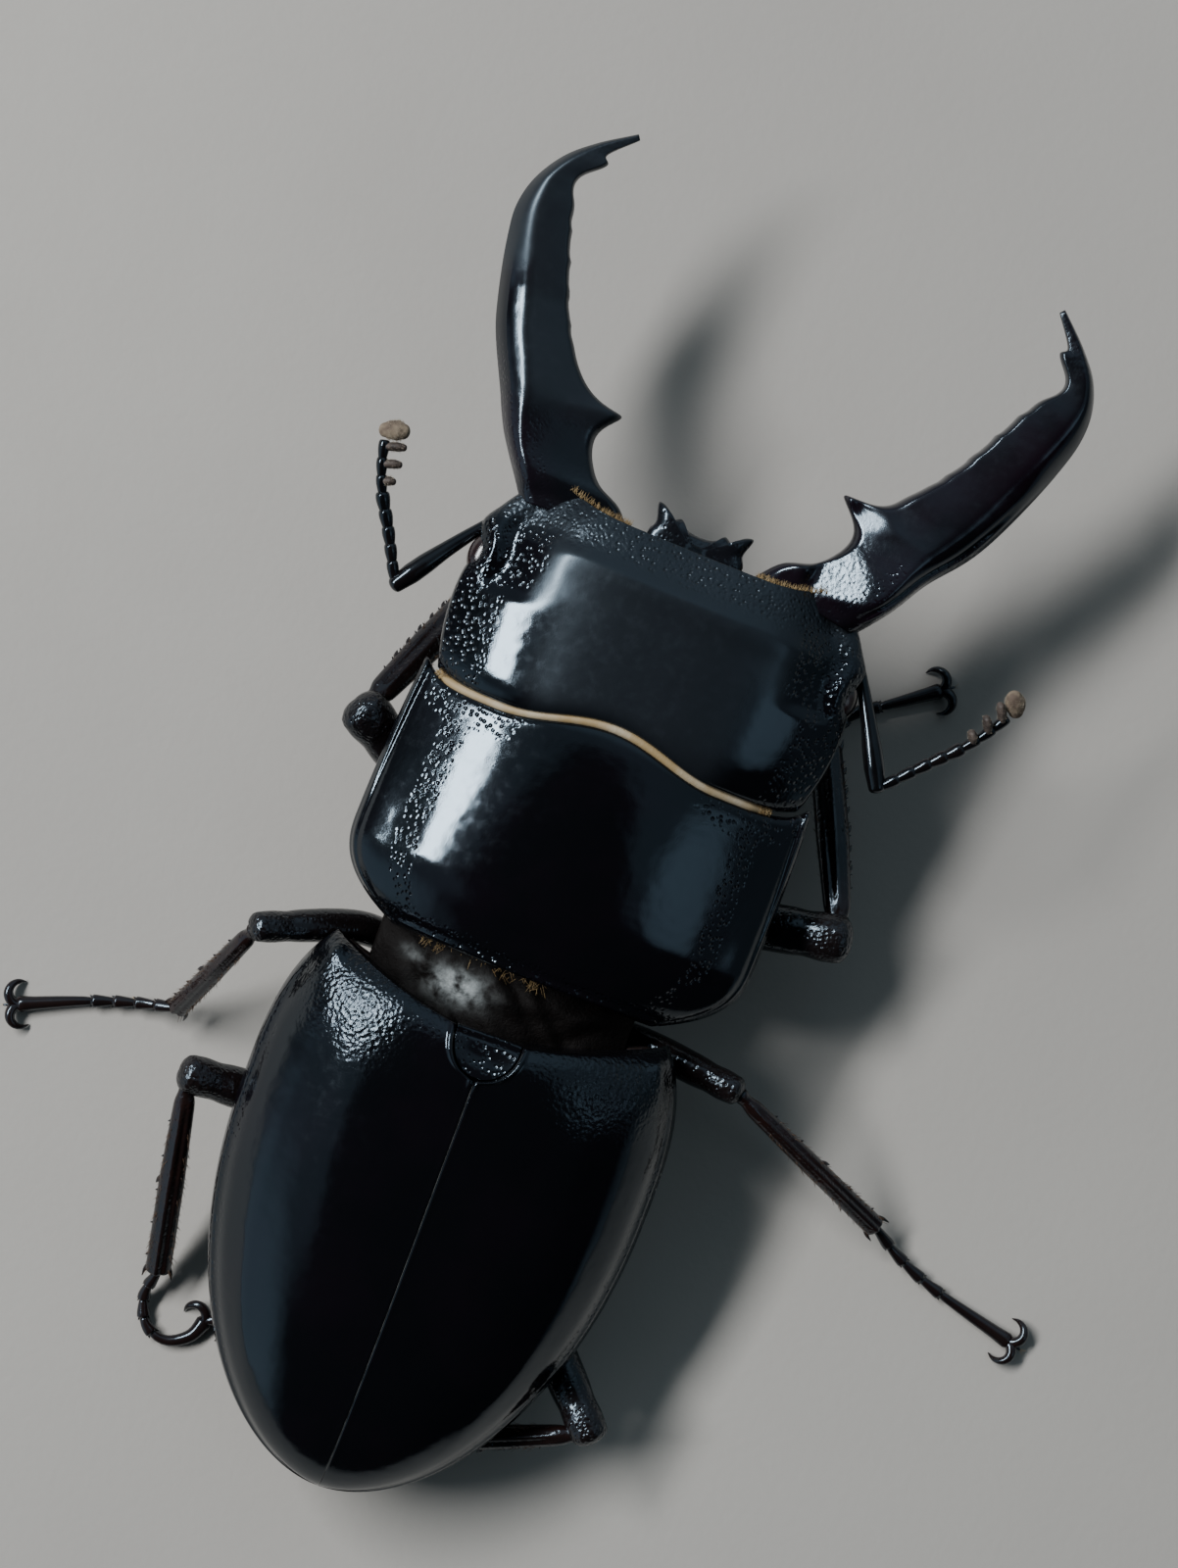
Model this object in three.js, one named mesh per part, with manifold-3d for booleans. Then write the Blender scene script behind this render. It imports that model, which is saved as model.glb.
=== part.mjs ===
// A male stag beetle, Mesotopus tarandus, standing still at life size.
// Millimetres. +X is the beetle's right, +Y runs to the mandibles, +Z is up and the floor is z = 0.
// Inside the model y = 0 is the waist, the straight rear margin of the pronotum.
// At the end the whole group is moved so that the origin is the middle of the footprint.

import * as THREE from 'three';
import { mergeVertices } from 'three/addons/utils/BufferGeometryUtils.js';
import Module from 'manifold-3d';

const wasm = await Module();
wasm.setup();

// ---------------------------------------------------------------- driving dimensions

const CUT = 0.12; // thin cut between two hard pieces that meet
const THINNEST = 0.26; // smallest half thickness of a claw, spine or feeler

const ELYTRA = {
  halfWidth: 12.95,
  widestY: -12,
  apexY: -34.1,
  shoulderY: -1.3,
  shoulderHalfWidth: 10.6,
  baseY: -3.9,
  marginZ: 9.9, // height of the side margin at y = 0
  marginSlope: 0.11, // the hind body slopes down to the rear
  height: 6.3,
  rim: 0.6,
};

const SCUTELLUM = { halfWidth: 2.0, baseY: -3.75, apexY: -6.5, thickness: 1.2 };

const PRONOTUM = {
  halfWidth: 12.75,
  rearHalfWidth: 8.35,
  cornerLength: 5.5,
  frontHalfWidth: 12.35,
  frontY: 14.15,
  frontLobe: 1.25, // how far the middle and the corners reach past frontY
  lobeX: -0.5,
  lobeHalfWidth: 7.0,
  marginZ: 10.6,
  marginSlope: 0.05,
  height: 4.7,
  rim: 0.7,
};

const HEAD = {
  halfWidth: 12.3,
  widestY: 20,
  frontCornerX: 9.6,
  frontCornerY: 27.8,
  frontY: 27.1,
  marginZ: 12.0,
  wall: 1.3, // height of the upright cheek
  height: 3.2,
  depth: 3.2, // throat below the cheek
  ridgeY: 23.8, // cross ridge where the forehead drops to the front margin
  drop: 1.7,
};

const EYE = { x: 11.5, y: 22.35, z: 11.5, radii: [1.02, 1.4, 0.95] };

const BELLY = { share: 0.88, keelZ: 4.4, tailKeelZ: 5.2, hindY: -33.1, coxaY: -15.7, throatY: 13.9 };

const MANDIBLE = {
  hinge: [10.9, 26.75, 11.7],
  spread: { left: 4.3, right: 11.4 }, // degrees that each one is opened outwards
  // How far each one differs from the stations: its edges along the blade and near the base,
  // the reach of its main tooth, and its length.
  cast: {
    left: { outer: 0.45, inner: 0.3, base: 0, tooth: -0.1, stretch: 0.975 },
    right: { outer: 0, inner: -0.5, base: -0.6, tooth: 0.6, stretch: 1 },
  },
  // From base to tip: outer edge x y, inner edge x y, half thickness, rise of the middle line.
  stations: [
    [-0.1, -0.3, -7.3, 0.2, 2.1, 0.0],
    [1.15, 1.6, -4.7, 1.5, 2.2, -0.1],
    [2.15, 3.3, -3.5, 3.1, 2.2, -0.2],
    [2.95, 5.3, -2.8, 5.3, 2.05, -0.3],
    [3.65, 7.6, -1.6, 7.7, 1.9, -0.3],
    [4.4, 10.9, 0.0, 10.7, 1.75, -0.2],
    [4.9, 14.2, 1.1, 14.2, 1.6, 0.1],
    [5.0, 16.6, 1.95, 17.2, 1.35, 0.4],
    [4.6, 18.4, 2.4, 18.6, 1.1, 0.6],
    [3.6, 20.0, 2.0, 19.6, 0.85, 0.8],
    [2.0, 21.3, 1.2, 20.8, 0.55, 0.9],
    [0.15, 22.3, 0.0, 21.95, 0.28, 1.0],
  ],
  // Inner teeth: path from inside the blade to the tip, with the half thickness at each point.
  teeth: [
    { path: [[0.4, 5.8], [-1.9, 5.75], [-3.1, 5.9], [-4.25, 6.2]], radii: [2.0, 1.4, 0.62, THINNEST] },
    { path: [[3.0, 18.9], [2.1, 19.5], [1.2, 20.3]], radii: [0.7, 0.5, THINNEST] },
  ],
};

const HIND_BODY = { x: -0.75, yaw: 1.8 }; // sideways step and turn of the hind body at the waist

const ANTENNAE = {
  left: {
    scape: [[-11.6, 24.8, 10.9], [-13.8, 21.8, 11.2], [-15.8, 18.75, 11.5]],
    whip: [[-16.0, 19.1, 11.5], [-17.4, 21.65, 12.0], [-18.45, 23.4, 12.3], [-19.1, 24.9, 12.6],
      [-19.75, 27.4, 12.9]],
    inward: [0.957, 0.29, 0],
  },
  right: {
    scape: [[11.8, 24.9, 10.9], [13.65, 21.75, 11.2], [15.55, 18.25, 11.5]],
    whip: [[15.8, 18.5, 11.5], [18.0, 20.95, 12.0], [19.25, 22.3, 12.3], [20.3, 23.7, 12.6],
      [21.6, 26.0, 12.9]],
    inward: [-0.6, 0.8, 0.7],
  },
};
const SCAPE_RADII = [0.42, 0.5, 0.6];
const WHIP_SEGMENTS = 9; // pedicel, four beads and the four segments of the club
const CLUB_FROM = 5;
const LAMELLAE = [0.85, 1.2, 1.35, 1.15]; // reach of the club's four plates

const PALPS = {
  maxillary: [[5.9, 22.6, 6.9], [6.6, 24.6, 6.6], [6.2, 26.4, 6.8], [5.2, 27.4, 7.3]],
  labial: [[2.0, 23.4, 6.1], [2.3, 25.2, 5.9], [1.9, 26.9, 6.3]],
};

// Each leg: hip, a point on the thigh, knee and ankle, then the foot's line to the claws.
const LEGS = {
  front_left: {
    hip: [-4.2, 5.5], thigh: [-10.2, 8.6, 6.4], knee: [-14.8, 11.1, 9.3], ankle: [-10.9, 20.7, 2.1],
    foot: [[-9.9, 22.3, 0.8], [-7.0, 23.9, 0.55], [-3.4, 25.0, 0.5]],
  },
  front_right: {
    hip: [4.2, 5.5], thigh: [11.4, 7.6, 5.9], knee: [17.4, 8.95, 7.6], ankle: [12.9, 19.6, 2.1],
    foot: [[13.35, 21.5, 0.8], [14.2, 22.75, 0.6], [15.3, 23.5, 0.52], [18.6, 25.95, 0.5]],
  },
  middle_left: {
    hip: [-4.9, -2.0], thigh: [-9.9, -1.3, 6.5], knee: [-15.8, -3.3, 10.3], ankle: [-18.7, -10.4, 2.0],
    foot: [[-21.0, -11.2, 0.8], [-24.1, -12.3, 0.55], [-28.3, -14.2, 0.5]],
  },
  middle_right: {
    hip: [3.5, -2.0], thigh: [9.0, -1.6, 5.9], knee: [14.9, -2.0, 8.0], ankle: [27.0, -7.1, 2.0],
    foot: [[29.3, -8.4, 0.8], [31.8, -9.4, 0.55], [38.3, -11.0, 0.5]],
  },
  hind_left: {
    hip: [-4.3, -15.2], thigh: [-10.4, -13.4, 4.7], knee: [-16.4, -13.3, 7.7], ankle: [-13.8, -26.1, 2.0],
    foot: [[-14.0, -28.2, 0.75], [-13.2, -29.9, 0.55], [-11.8, -30.4, 0.5], [-10.4, -29.6, 0.5],
      [-9.8, -28.2, 0.5]],
  },
  hind_right: {
    hip: [4.2, -16.0], thigh: [9.6, -20.2, 4.4], knee: [14.7, -25.1, 6.3], ankle: [3.5, -30.7, 2.0],
    foot: [[1.2, -30.2, 0.8], [-1.3, -28.9, 0.55], [-5.0, -26.6, 0.5]],
  },
};
const COXA = { z: 4.75, radii: [2.1, 1.5, 1.75] };
const FEMUR = { startZ: 3.8, start: 2.0 };
// Half widths and half heights for each pair of legs. The front shins are broad saws.
// shin holds the start, the middle and the ankle end.
const GIRTH = {
  front: { femur: [1.5, 1.35], kneeEnd: [1.3, 1.15], shin: [[0.8, 0.6], [1.05, 0.66], [1.05, 0.68]] },
  middle: { femur: [1.05, 1.15], kneeEnd: [0.9, 0.88], shin: [[0.56, 0.53], [0.66, 0.6], [0.7, 0.64]] },
  hind: { femur: [1.32, 1.28], kneeEnd: [1.15, 1.05], shin: [[0.62, 0.56], [0.8, 0.66], [0.84, 0.7]] },
};
const SHIN_SPINES = { front: [0.3, 0.41, 0.52, 0.63, 0.74, 0.86], middle: [0.55], hind: [0.5] };
const FOOT = { waist: 0.31, lobe: 0.42, last: [0.36, 0.52], clawLength: 2.5, clawSpread: 10, clawCurl: 200 };

const FINISH = {
  shell: { color: 0x0b0d10, roughness: 0.12, metalness: 0.0 },
  belly: { color: 0x120e0d, roughness: 0.3, metalness: 0.0 },
  limb: { color: 0x0d0b0b, roughness: 0.22, metalness: 0.0 },
  eye: { color: 0x1a1412, roughness: 0.18, metalness: 0.0 },
  club: { color: 0x6e6256, roughness: 0.85, metalness: 0.0 },
  membrane: { color: 0x4f4a42, roughness: 0.6, metalness: 0.0 },
};

// ---------------------------------------------------------------- small helpers

const vector = (point) => new THREE.Vector3(...point);
const lerp = THREE.MathUtils.lerp;
const radians = THREE.MathUtils.degToRad;
const clamp01 = (value) => Math.min(1, Math.max(0, value));
const mirrored = (half) => [...half.slice(1).map((value) => -value).reverse(), ...half];

function steps(count) {
  return Array.from({ length: count + 1 }, (_, index) => index / count);
}

// An indexed geometry with shared vertices, no collapsed triangles and its faces pointing out.
function closedGeometry(points, faces) {
  const geometry = new THREE.BufferGeometry();
  geometry.setAttribute('position', new THREE.Float32BufferAttribute(points.flatMap((p) => p.toArray()), 3));
  geometry.setIndex(faces.flat());
  return outward(geometry);
}

function outward(source) {
  source.deleteAttribute('normal');
  source.deleteAttribute('uv');
  const geometry = mergeVertices(source, 1e-3);
  const at = (index) => new THREE.Vector3().fromBufferAttribute(geometry.attributes.position, index);
  const order = geometry.index.array;
  const kept = [];
  let volume = 0;
  for (let i = 0; i < order.length; i += 3) {
    const [a, b, c] = [order[i], order[i + 1], order[i + 2]];
    if (a !== b && b !== c && c !== a) {
      kept.push([a, b, c]);
      volume += at(a).dot(at(b).cross(at(c)));
    }
  }
  geometry.setIndex(kept.flatMap(([a, b, c]) => (volume > 0 ? [a, b, c] : [a, c, b])));
  return geometry;
}

// A closed plate: an upper and a lower sheet over one grid, joined by a wall all round.
function plate(across, along, upper, lower) {
  const columns = across.length;
  const points = [];
  for (const sheet of [upper, lower]) {
    for (const v of along) {
      for (const u of across) points.push(sheet(u, v));
    }
  }
  const top = (i, j) => j * columns + i;
  const low = (i, j) => top(i, j) + columns * along.length;
  const faces = [];
  const quad = (a, b, c, d) => faces.push([a, b, c], [a, c, d]);
  const lastI = columns - 1;
  const lastJ = along.length - 1;
  for (let j = 0; j < lastJ; j += 1) {
    for (let i = 0; i < lastI; i += 1) {
      quad(top(i, j), top(i + 1, j), top(i + 1, j + 1), top(i, j + 1));
      quad(low(i, j), low(i, j + 1), low(i + 1, j + 1), low(i + 1, j));
    }
    quad(low(0, j + 1), low(0, j), top(0, j), top(0, j + 1));
    quad(low(lastI, j), low(lastI, j + 1), top(lastI, j + 1), top(lastI, j));
  }
  for (let i = 0; i < lastI; i += 1) {
    quad(low(i, 0), low(i + 1, 0), top(i + 1, 0), top(i, 0));
    quad(low(i + 1, lastJ), low(i, lastJ), top(i, lastJ), top(i + 1, lastJ));
  }
  return closedGeometry(points, faces);
}

// A closed body through rings of points, with a low cone on each end.
function loft(rings, firstTip, lastTip) {
  const sides = rings[0].length;
  const points = rings.flat();
  const faces = [];
  for (let j = 0; j + 1 < rings.length; j += 1) {
    for (let i = 0; i < sides; i += 1) {
      const a = j * sides + i;
      const b = j * sides + ((i + 1) % sides);
      faces.push([a, b, b + sides], [a, b + sides, a + sides]);
    }
  }
  const start = points.push(firstTip) - 1;
  const end = points.push(lastTip) - 1;
  const lastRing = (rings.length - 1) * sides;
  for (let i = 0; i < sides; i += 1) {
    const next = (i + 1) % sides;
    faces.push([start, next, i], [end, lastRing + i, lastRing + next]);
  }
  return closedGeometry(points, faces);
}

// A limb: oval rings along a curve. section(t) gives the half width and the half height.
function limb(curve, stations, section, sides = 8, nose = 0.5) {
  const up = new THREE.Vector3(0, 0, 1);
  const rings = stations.map((t) => {
    const middle = curve.getPointAt(t);
    const tangent = curve.getTangentAt(t);
    const side = tangent.clone().cross(up).normalize();
    const rise = side.clone().cross(tangent);
    const [wide, high] = section(t);
    return Array.from({ length: sides }, (_, k) => {
      const angle = (k / sides) * 2 * Math.PI;
      return middle.clone()
        .addScaledVector(side, wide * Math.cos(angle))
        .addScaledVector(rise, high * Math.sin(angle));
    });
  });
  const tip = (t, reach) => curve.getPointAt(t).addScaledVector(curve.getTangentAt(t), reach * section(t)[0]);
  return loft(rings, tip(stations[0], -nose), tip(stations[stations.length - 1], nose));
}

// A tapering spike through a few points, one half thickness for each point.
function spike(path, radii, sides = 6) {
  const curve = new THREE.CatmullRomCurve3(path.map(vector));
  const last = radii.length - 1;
  const radius = (t) => {
    const place = Math.min(last - 1e-6, t * last);
    const index = Math.floor(place);
    return lerp(radii[index], radii[index + 1], place - index);
  };
  return limb(curve, steps(last), (t) => [radius(t), radius(t)], sides, 0.3);
}

function ellipsoid(centre, radii, around = 14, upDown = 8) {
  const geometry = new THREE.SphereGeometry(1, around, upDown);
  geometry.scale(...radii);
  geometry.translate(...centre);
  return outward(geometry);
}

function toSolid(geometry) {
  return new wasm.Manifold(new wasm.Mesh({
    numProp: 3,
    vertProperties: new Float32Array(geometry.attributes.position.array),
    triVerts: new Uint32Array(geometry.index.array),
  }));
}

function toGeometry(solid) {
  const mesh = solid.getMesh();
  const geometry = new THREE.BufferGeometry();
  geometry.setAttribute('position', new THREE.Float32BufferAttribute(mesh.vertProperties, 3));
  geometry.setIndex([...mesh.triVerts]);
  return outward(geometry);
}

const joined = (first, ...others) =>
  toGeometry(others.reduce((solid, other) => solid.add(toSolid(other)), toSolid(first)));
const without = (first, ...cutters) =>
  toGeometry(cutters.reduce((solid, cutter) => solid.subtract(toSolid(cutter)), toSolid(first)));
const moved = (geometry, offset) => geometry.clone().translate(...offset);
const placed = (geometry, matrix) => geometry.clone().applyMatrix4(matrix);

function piece(parent, name, geometry, finish) {
  const mesh = new THREE.Mesh(geometry, new THREE.MeshStandardMaterial(FINISH[finish]));
  mesh.name = name;
  parent.add(mesh);
  return mesh;
}

// ---------------------------------------------------------------- hind body

const elytraMarginZ = (y) => ELYTRA.marginZ + ELYTRA.marginSlope * y;

function elytraHalfWidth(y) {
  if (y < ELYTRA.widestY) {
    const back = (ELYTRA.widestY - y) / (ELYTRA.widestY - ELYTRA.apexY);
    return ELYTRA.halfWidth * Math.max(0, 1 - back ** 2) ** 0.52;
  }
  const forward = (y - ELYTRA.widestY) / (ELYTRA.shoulderY - ELYTRA.widestY);
  return ELYTRA.halfWidth - (ELYTRA.halfWidth - ELYTRA.shoulderHalfWidth) * forward ** 3.4;
}

function elytraHeight(y) {
  if (y < ELYTRA.widestY) {
    const back = (ELYTRA.widestY - y) / (ELYTRA.widestY - ELYTRA.apexY);
    return ELYTRA.height * Math.sqrt(Math.max(0, 1 - back ** 2.6));
  }
  const forward = (y - ELYTRA.widestY) / (ELYTRA.shoulderY - ELYTRA.widestY);
  return ELYTRA.height * (1 - 0.3 * forward ** 2.5);
}

// The base line slants forward from the scutellum to the pointed shoulder.
function elytraBaseY(x) {
  const share = clamp01(Math.abs(x) / ELYTRA.shoulderHalfWidth);
  return lerp(ELYTRA.baseY, ELYTRA.shoulderY, share ** 1.3);
}

// Height of the back from the suture, share 0, to the side margin, share 1.
const elytraDome = (share) => (1 - clamp01(share) ** 2.6) ** 0.7;

function scutellumHalfWidth(y, grow) {
  const back = (SCUTELLUM.baseY - y) / (SCUTELLUM.baseY - SCUTELLUM.apexY + grow);
  if (back >= 1) return 0;
  return (SCUTELLUM.halfWidth + grow) * Math.sqrt(1 - clamp01(back) ** 2.4);
}

// side is 1 for the right wing case and -1 for the left. Stations below 0 follow the round rear.
function elytron(side) {
  const across = [0, 0.22, 0.45, 0.65, 0.81, 0.92, 1];
  const along = [-0.965, -0.91, -0.82, -0.7, -0.54, -0.36, -0.18, 0, 0.36, 0.66, 0.71, 0.8, 0.9, 1];
  const place = (u, v, z) => {
    const y = v < 0
      ? ELYTRA.widestY - (ELYTRA.widestY - ELYTRA.apexY) * Math.sin(-v * Math.PI / 2)
      : lerp(ELYTRA.widestY, elytraBaseY(u * ELYTRA.shoulderHalfWidth), v);
    const inner = Math.max(CUT / 2, scutellumHalfWidth(y, CUT));
    const x = lerp(inner, elytraHalfWidth(y), u);
    return new THREE.Vector3(side * x, y, z(x, y));
  };
  const upper = (x, y) => elytraMarginZ(y) + elytraHeight(y) * elytraDome(x / elytraHalfWidth(y));
  const lower = (x, y) => elytraMarginZ(y) - ELYTRA.rim;
  return plate(across, along, (u, v) => place(u, v, upper), (u, v) => place(u, v, lower));
}

function scutellum() {
  const across = mirrored([0, 0.4, 0.75, 1]);
  const along = [SCUTELLUM.apexY + 0.03, -6.1, -5.4, -4.6, SCUTELLUM.baseY, -2.9];
  const topZ = (y) => elytraMarginZ(y) + elytraHeight(y) - 0.15 - 1.3 * Math.max(0, y - SCUTELLUM.baseY);
  const sheet = (drop) => (u, y) => {
    const x = u * Math.max(0.25, scutellumHalfWidth(y, 0));
    return new THREE.Vector3(x, y, topZ(y) - 0.15 * u ** 2 - drop);
  };
  return plate(across, along, sheet(0), sheet(SCUTELLUM.thickness));
}

const bellyHalfWidth = (y) => BELLY.share * elytraHalfWidth(Math.min(y, ELYTRA.shoulderY));
const bellyTopZ = (y) => elytraMarginZ(y) - ELYTRA.rim - CUT;

function bellyKeelZ(y) {
  return lerp(BELLY.keelZ, BELLY.tailKeelZ, clamp01((BELLY.coxaY - y) / (BELLY.coxaY - BELLY.hindY)) ** 2);
}

// Underside of the hind body, boat shaped: lowest along the middle, rising to the flanks.
function bellyZ(u, y) {
  return lerp(bellyKeelZ(y), bellyTopZ(y) - 1, Math.abs(u) ** 2.5);
}

const BELLY_ACROSS = mirrored([0, 0.38, 0.68, 0.88, 1]);

function metasternum() {
  const y = (u, v) => lerp(BELLY.coxaY, elytraBaseY(u * bellyHalfWidth(0)) - CUT, v);
  const sheet = (z) => (u, v) => new THREE.Vector3(u * bellyHalfWidth(y(u, v)), y(u, v), z(u, y(u, v)));
  return plate(BELLY_ACROSS, steps(5), sheet((u, at) => bellyTopZ(at)), sheet(bellyZ));
}

// Five ventral plates in a row, each with its hind edge a little proud of the next.
function abdomen() {
  const plates = 5;
  const lip = 0.3;
  const front = BELLY.coxaY - CUT;
  const along = [];
  for (let index = plates; index > 0; index -= 1) {
    along.push({ share: index / plates, proud: 1 });
    along.push({ share: (index - 0.9) / plates, proud: 0 });
  }
  const y = (v) => lerp(front, BELLY.hindY, v.share);
  const x = (u, v) => u * bellyHalfWidth(y(v));
  const upper = (u, v) => new THREE.Vector3(x(u, v), y(v), bellyTopZ(y(v)));
  const lower = (u, v) => new THREE.Vector3(x(u, v), y(v), bellyZ(u, y(v)) - v.proud * lip * (1 - u ** 4));
  return plate(BELLY_ACROSS, along, upper, lower);
}

// The waist between the pronotum and the wing cases, its top a sunken membrane.
function mesothorax() {
  const halfWidth = 8.2;
  const frontY = -0.5;
  const topZ = (u) => lerp(12.0, 9.1, Math.abs(u) ** 1.7);
  const y = (u, v) => lerp(elytraBaseY(u * halfWidth) + 2 * CUT, frontY, v);
  const upper = (u, v) => {
    const under = Math.abs(u * halfWidth) < SCUTELLUM.halfWidth + 0.5 ? 0.6 : 0;
    return new THREE.Vector3(u * halfWidth, y(u, v), topZ(u) - under);
  };
  const lower = (u, v) => new THREE.Vector3(u * halfWidth, y(u, v), bellyZ(u * 0.9, y(u, v)));
  return plate(BELLY_ACROSS, steps(2), upper, lower);
}

// The space that the hind body takes, one cut wider below, to trim hips and thighs under it.
function hindTrim() {
  const along = [BELLY.hindY - 0.5, -30, -26, -22, -18, -13, -8, -4, -0.05];
  const upper = (u, y) => new THREE.Vector3(u * (bellyHalfWidth(y) + CUT), y, bellyTopZ(y));
  const lower = (u, y) => new THREE.Vector3(u * (bellyHalfWidth(y) + CUT), y, bellyZ(u, y) - 0.3 - 2 * CUT);
  return plate(BELLY_ACROSS, along, upper, lower);
}

// ---------------------------------------------------------------- pronotum

const pronotumMarginZ = (y) => PRONOTUM.marginZ + PRONOTUM.marginSlope * y;

function pronotumHalfWidth(y) {
  const corner = clamp01((PRONOTUM.cornerLength - y) / PRONOTUM.cornerLength);
  const forward = clamp01((y - 6) / (PRONOTUM.frontY + PRONOTUM.frontLobe - 6));
  return PRONOTUM.halfWidth
    - (PRONOTUM.halfWidth - PRONOTUM.rearHalfWidth) * corner ** 2.8
    - (PRONOTUM.halfWidth - PRONOTUM.frontHalfWidth) * forward ** 2;
}

// The front margin reaches forward in the middle and again at the corners.
function pronotumFrontY(x) {
  const fromLobe = THREE.MathUtils.clamp((x - PRONOTUM.lobeX) / PRONOTUM.lobeHalfWidth, -1, 1);
  const middle = Math.cos((Math.PI / 2) * fromLobe) ** 2;
  const corner = clamp01(Math.abs(x) / PRONOTUM.frontHalfWidth) ** 12;
  return PRONOTUM.frontY + PRONOTUM.frontLobe * (middle + corner);
}

function pronotumTopZ(u, y) {
  const side = Math.abs(u);
  const rear = clamp01((5 - y) / 5);
  const front = clamp01((y - 4.5) / 11);
  const height = PRONOTUM.height * (1 - 0.3 * rear ** 2 - 0.25 * front ** 2);
  const edge = 0.155 * (1 - clamp01((y - 4.5) / 8.5)); // share of the drop taken by the steep rim
  const back = (1 - edge) * (1.04 * side ** 2 / (side + 0.04)) ** 1.8;
  return pronotumMarginZ(y) + height * (1 - back - edge * side ** 40);
}

function pronotum() {
  const across = mirrored([0, 0.15, 0.31, 0.47, 0.62, 0.76, 0.87, 0.95, 1]);
  const along = [0, 0.06, 0.16, 0.3, 0.5, 0.72, 0.89, 1];
  const y = (u, v) => v * pronotumFrontY(u * PRONOTUM.frontHalfWidth);
  const x = (u, v) => u * pronotumHalfWidth(y(u, v));
  const upper = (u, v) => new THREE.Vector3(x(u, v), y(u, v), pronotumTopZ(u, y(u, v)));
  const lower = (u, v) => new THREE.Vector3(x(u, v), y(u, v), pronotumMarginZ(y(u, v)) - PRONOTUM.rim);
  return plate(across, along, upper, lower);
}

const throatHalfWidth = (y) => 0.84 * pronotumHalfWidth(y);
const throatTopZ = (y) => pronotumMarginZ(y) - PRONOTUM.rim - CUT;
const throatZ = (u, y) => lerp(BELLY.keelZ + 0.03 * y, throatTopZ(y) - 1, Math.abs(u) ** 2.5);

function prosternum() {
  const along = [0.1, 2, 4.5, 8, 11, BELLY.throatY];
  const upper = (u, y) => new THREE.Vector3(u * throatHalfWidth(y), y, throatTopZ(y));
  const lower = (u, y) => new THREE.Vector3(u * throatHalfWidth(y), y, throatZ(u, y));
  return plate(BELLY_ACROSS, along, upper, lower);
}

function frontTrim() {
  const along = [-0.1, 2, 4.5, 8, 11, BELLY.throatY + CUT];
  const upper = (u, y) => new THREE.Vector3(u * (throatHalfWidth(y) + CUT), y, throatTopZ(y));
  const lower = (u, y) => new THREE.Vector3(u * (throatHalfWidth(y) + CUT), y, throatZ(u, y) - 2 * CUT);
  return plate(BELLY_ACROSS, along, upper, lower);
}

// ---------------------------------------------------------------- head

function headHalfWidth(y) {
  if (y < HEAD.widestY) return HEAD.halfWidth - 0.9 * ((HEAD.widestY - y) / 5) ** 2;
  const forward = (y - HEAD.widestY) / (HEAD.frontCornerY - HEAD.widestY);
  return HEAD.halfWidth - (HEAD.halfWidth - HEAD.frontCornerX) * forward ** 3.4;
}

// The front margin bulges over the mandible hinges and is straight between them.
function headFrontY(u) {
  const lobe = Math.exp(-(((Math.abs(u) - 0.86) / 0.2) ** 2));
  return HEAD.frontY + 0.85 * lobe;
}

function headTopZ(u, y) {
  const forehead = clamp01((y - HEAD.ridgeY) / (HEAD.frontY - HEAD.ridgeY)) ** 1.3;
  const nape = clamp01((17 - y) / 3) ** 2;
  const side = Math.abs(u);
  const height = HEAD.height - HEAD.drop * forehead * (1 - 0.5 * side) - 0.35 * nape;
  return HEAD.marginZ + height * (1 - side ** 3.4);
}

function headShell() {
  const across = mirrored([0, 0.22, 0.44, 0.63, 0.79, 0.91, 1]);
  const along = [0, 0.13, 0.35, 0.56, 0.72, 0.85, 0.94, 1];
  const rearY = (u) => pronotumFrontY(u * 11.7) + 2 * CUT;
  const y = (u, v) => lerp(rearY(u), headFrontY(u), v);
  const x = (u, v) => u * headHalfWidth(y(u, v));
  const lowZ = (u) => HEAD.marginZ - HEAD.wall - HEAD.depth * (1 - Math.abs(u) ** 2.6);
  const upper = (u, v) => new THREE.Vector3(x(u, v), y(u, v), headTopZ(u, y(u, v)));
  const lower = (u, v) => new THREE.Vector3(x(u, v), y(u, v), lowZ(u));
  return plate(across, along, upper, lower);
}

// The face plate between the mandibles, with two forked teeth that point forward and out.
function clypeus() {
  const half = [
    [3.0, 26.4], [3.05, 27.45], [2.8, 28.05], [3.05, 29.2], [2.6, 29.15], [1.9, 28.55], [1.4, 28.75],
    [0.9, 28.3],
  ];
  const shape = new THREE.Shape();
  shape.moveTo(0, 26.4);
  half.forEach(([x, y]) => shape.lineTo(x, y));
  shape.lineTo(0, 28.15);
  [...half].reverse().forEach(([x, y]) => shape.lineTo(-x, y));
  shape.closePath();
  const geometry = new THREE.ExtrudeGeometry(shape, { depth: 1.2, bevelEnabled: false });
  geometry.translate(0, 0, 11.7);
  return outward(geometry);
}

function mentum() {
  const shape = new THREE.Shape();
  shape.moveTo(-4.2, 20.2);
  shape.lineTo(4.2, 20.2);
  shape.lineTo(5.2, 24.6);
  shape.quadraticCurveTo(0, 26.4, -5.2, 24.6);
  shape.closePath();
  const geometry = new THREE.ExtrudeGeometry(shape, { depth: 0.7, bevelEnabled: false, curveSegments: 6 });
  geometry.translate(0, 0, HEAD.marginZ - HEAD.wall - HEAD.depth - 0.7 - CUT);
  return outward(geometry);
}

// ---------------------------------------------------------------- mandibles and feelers

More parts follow.
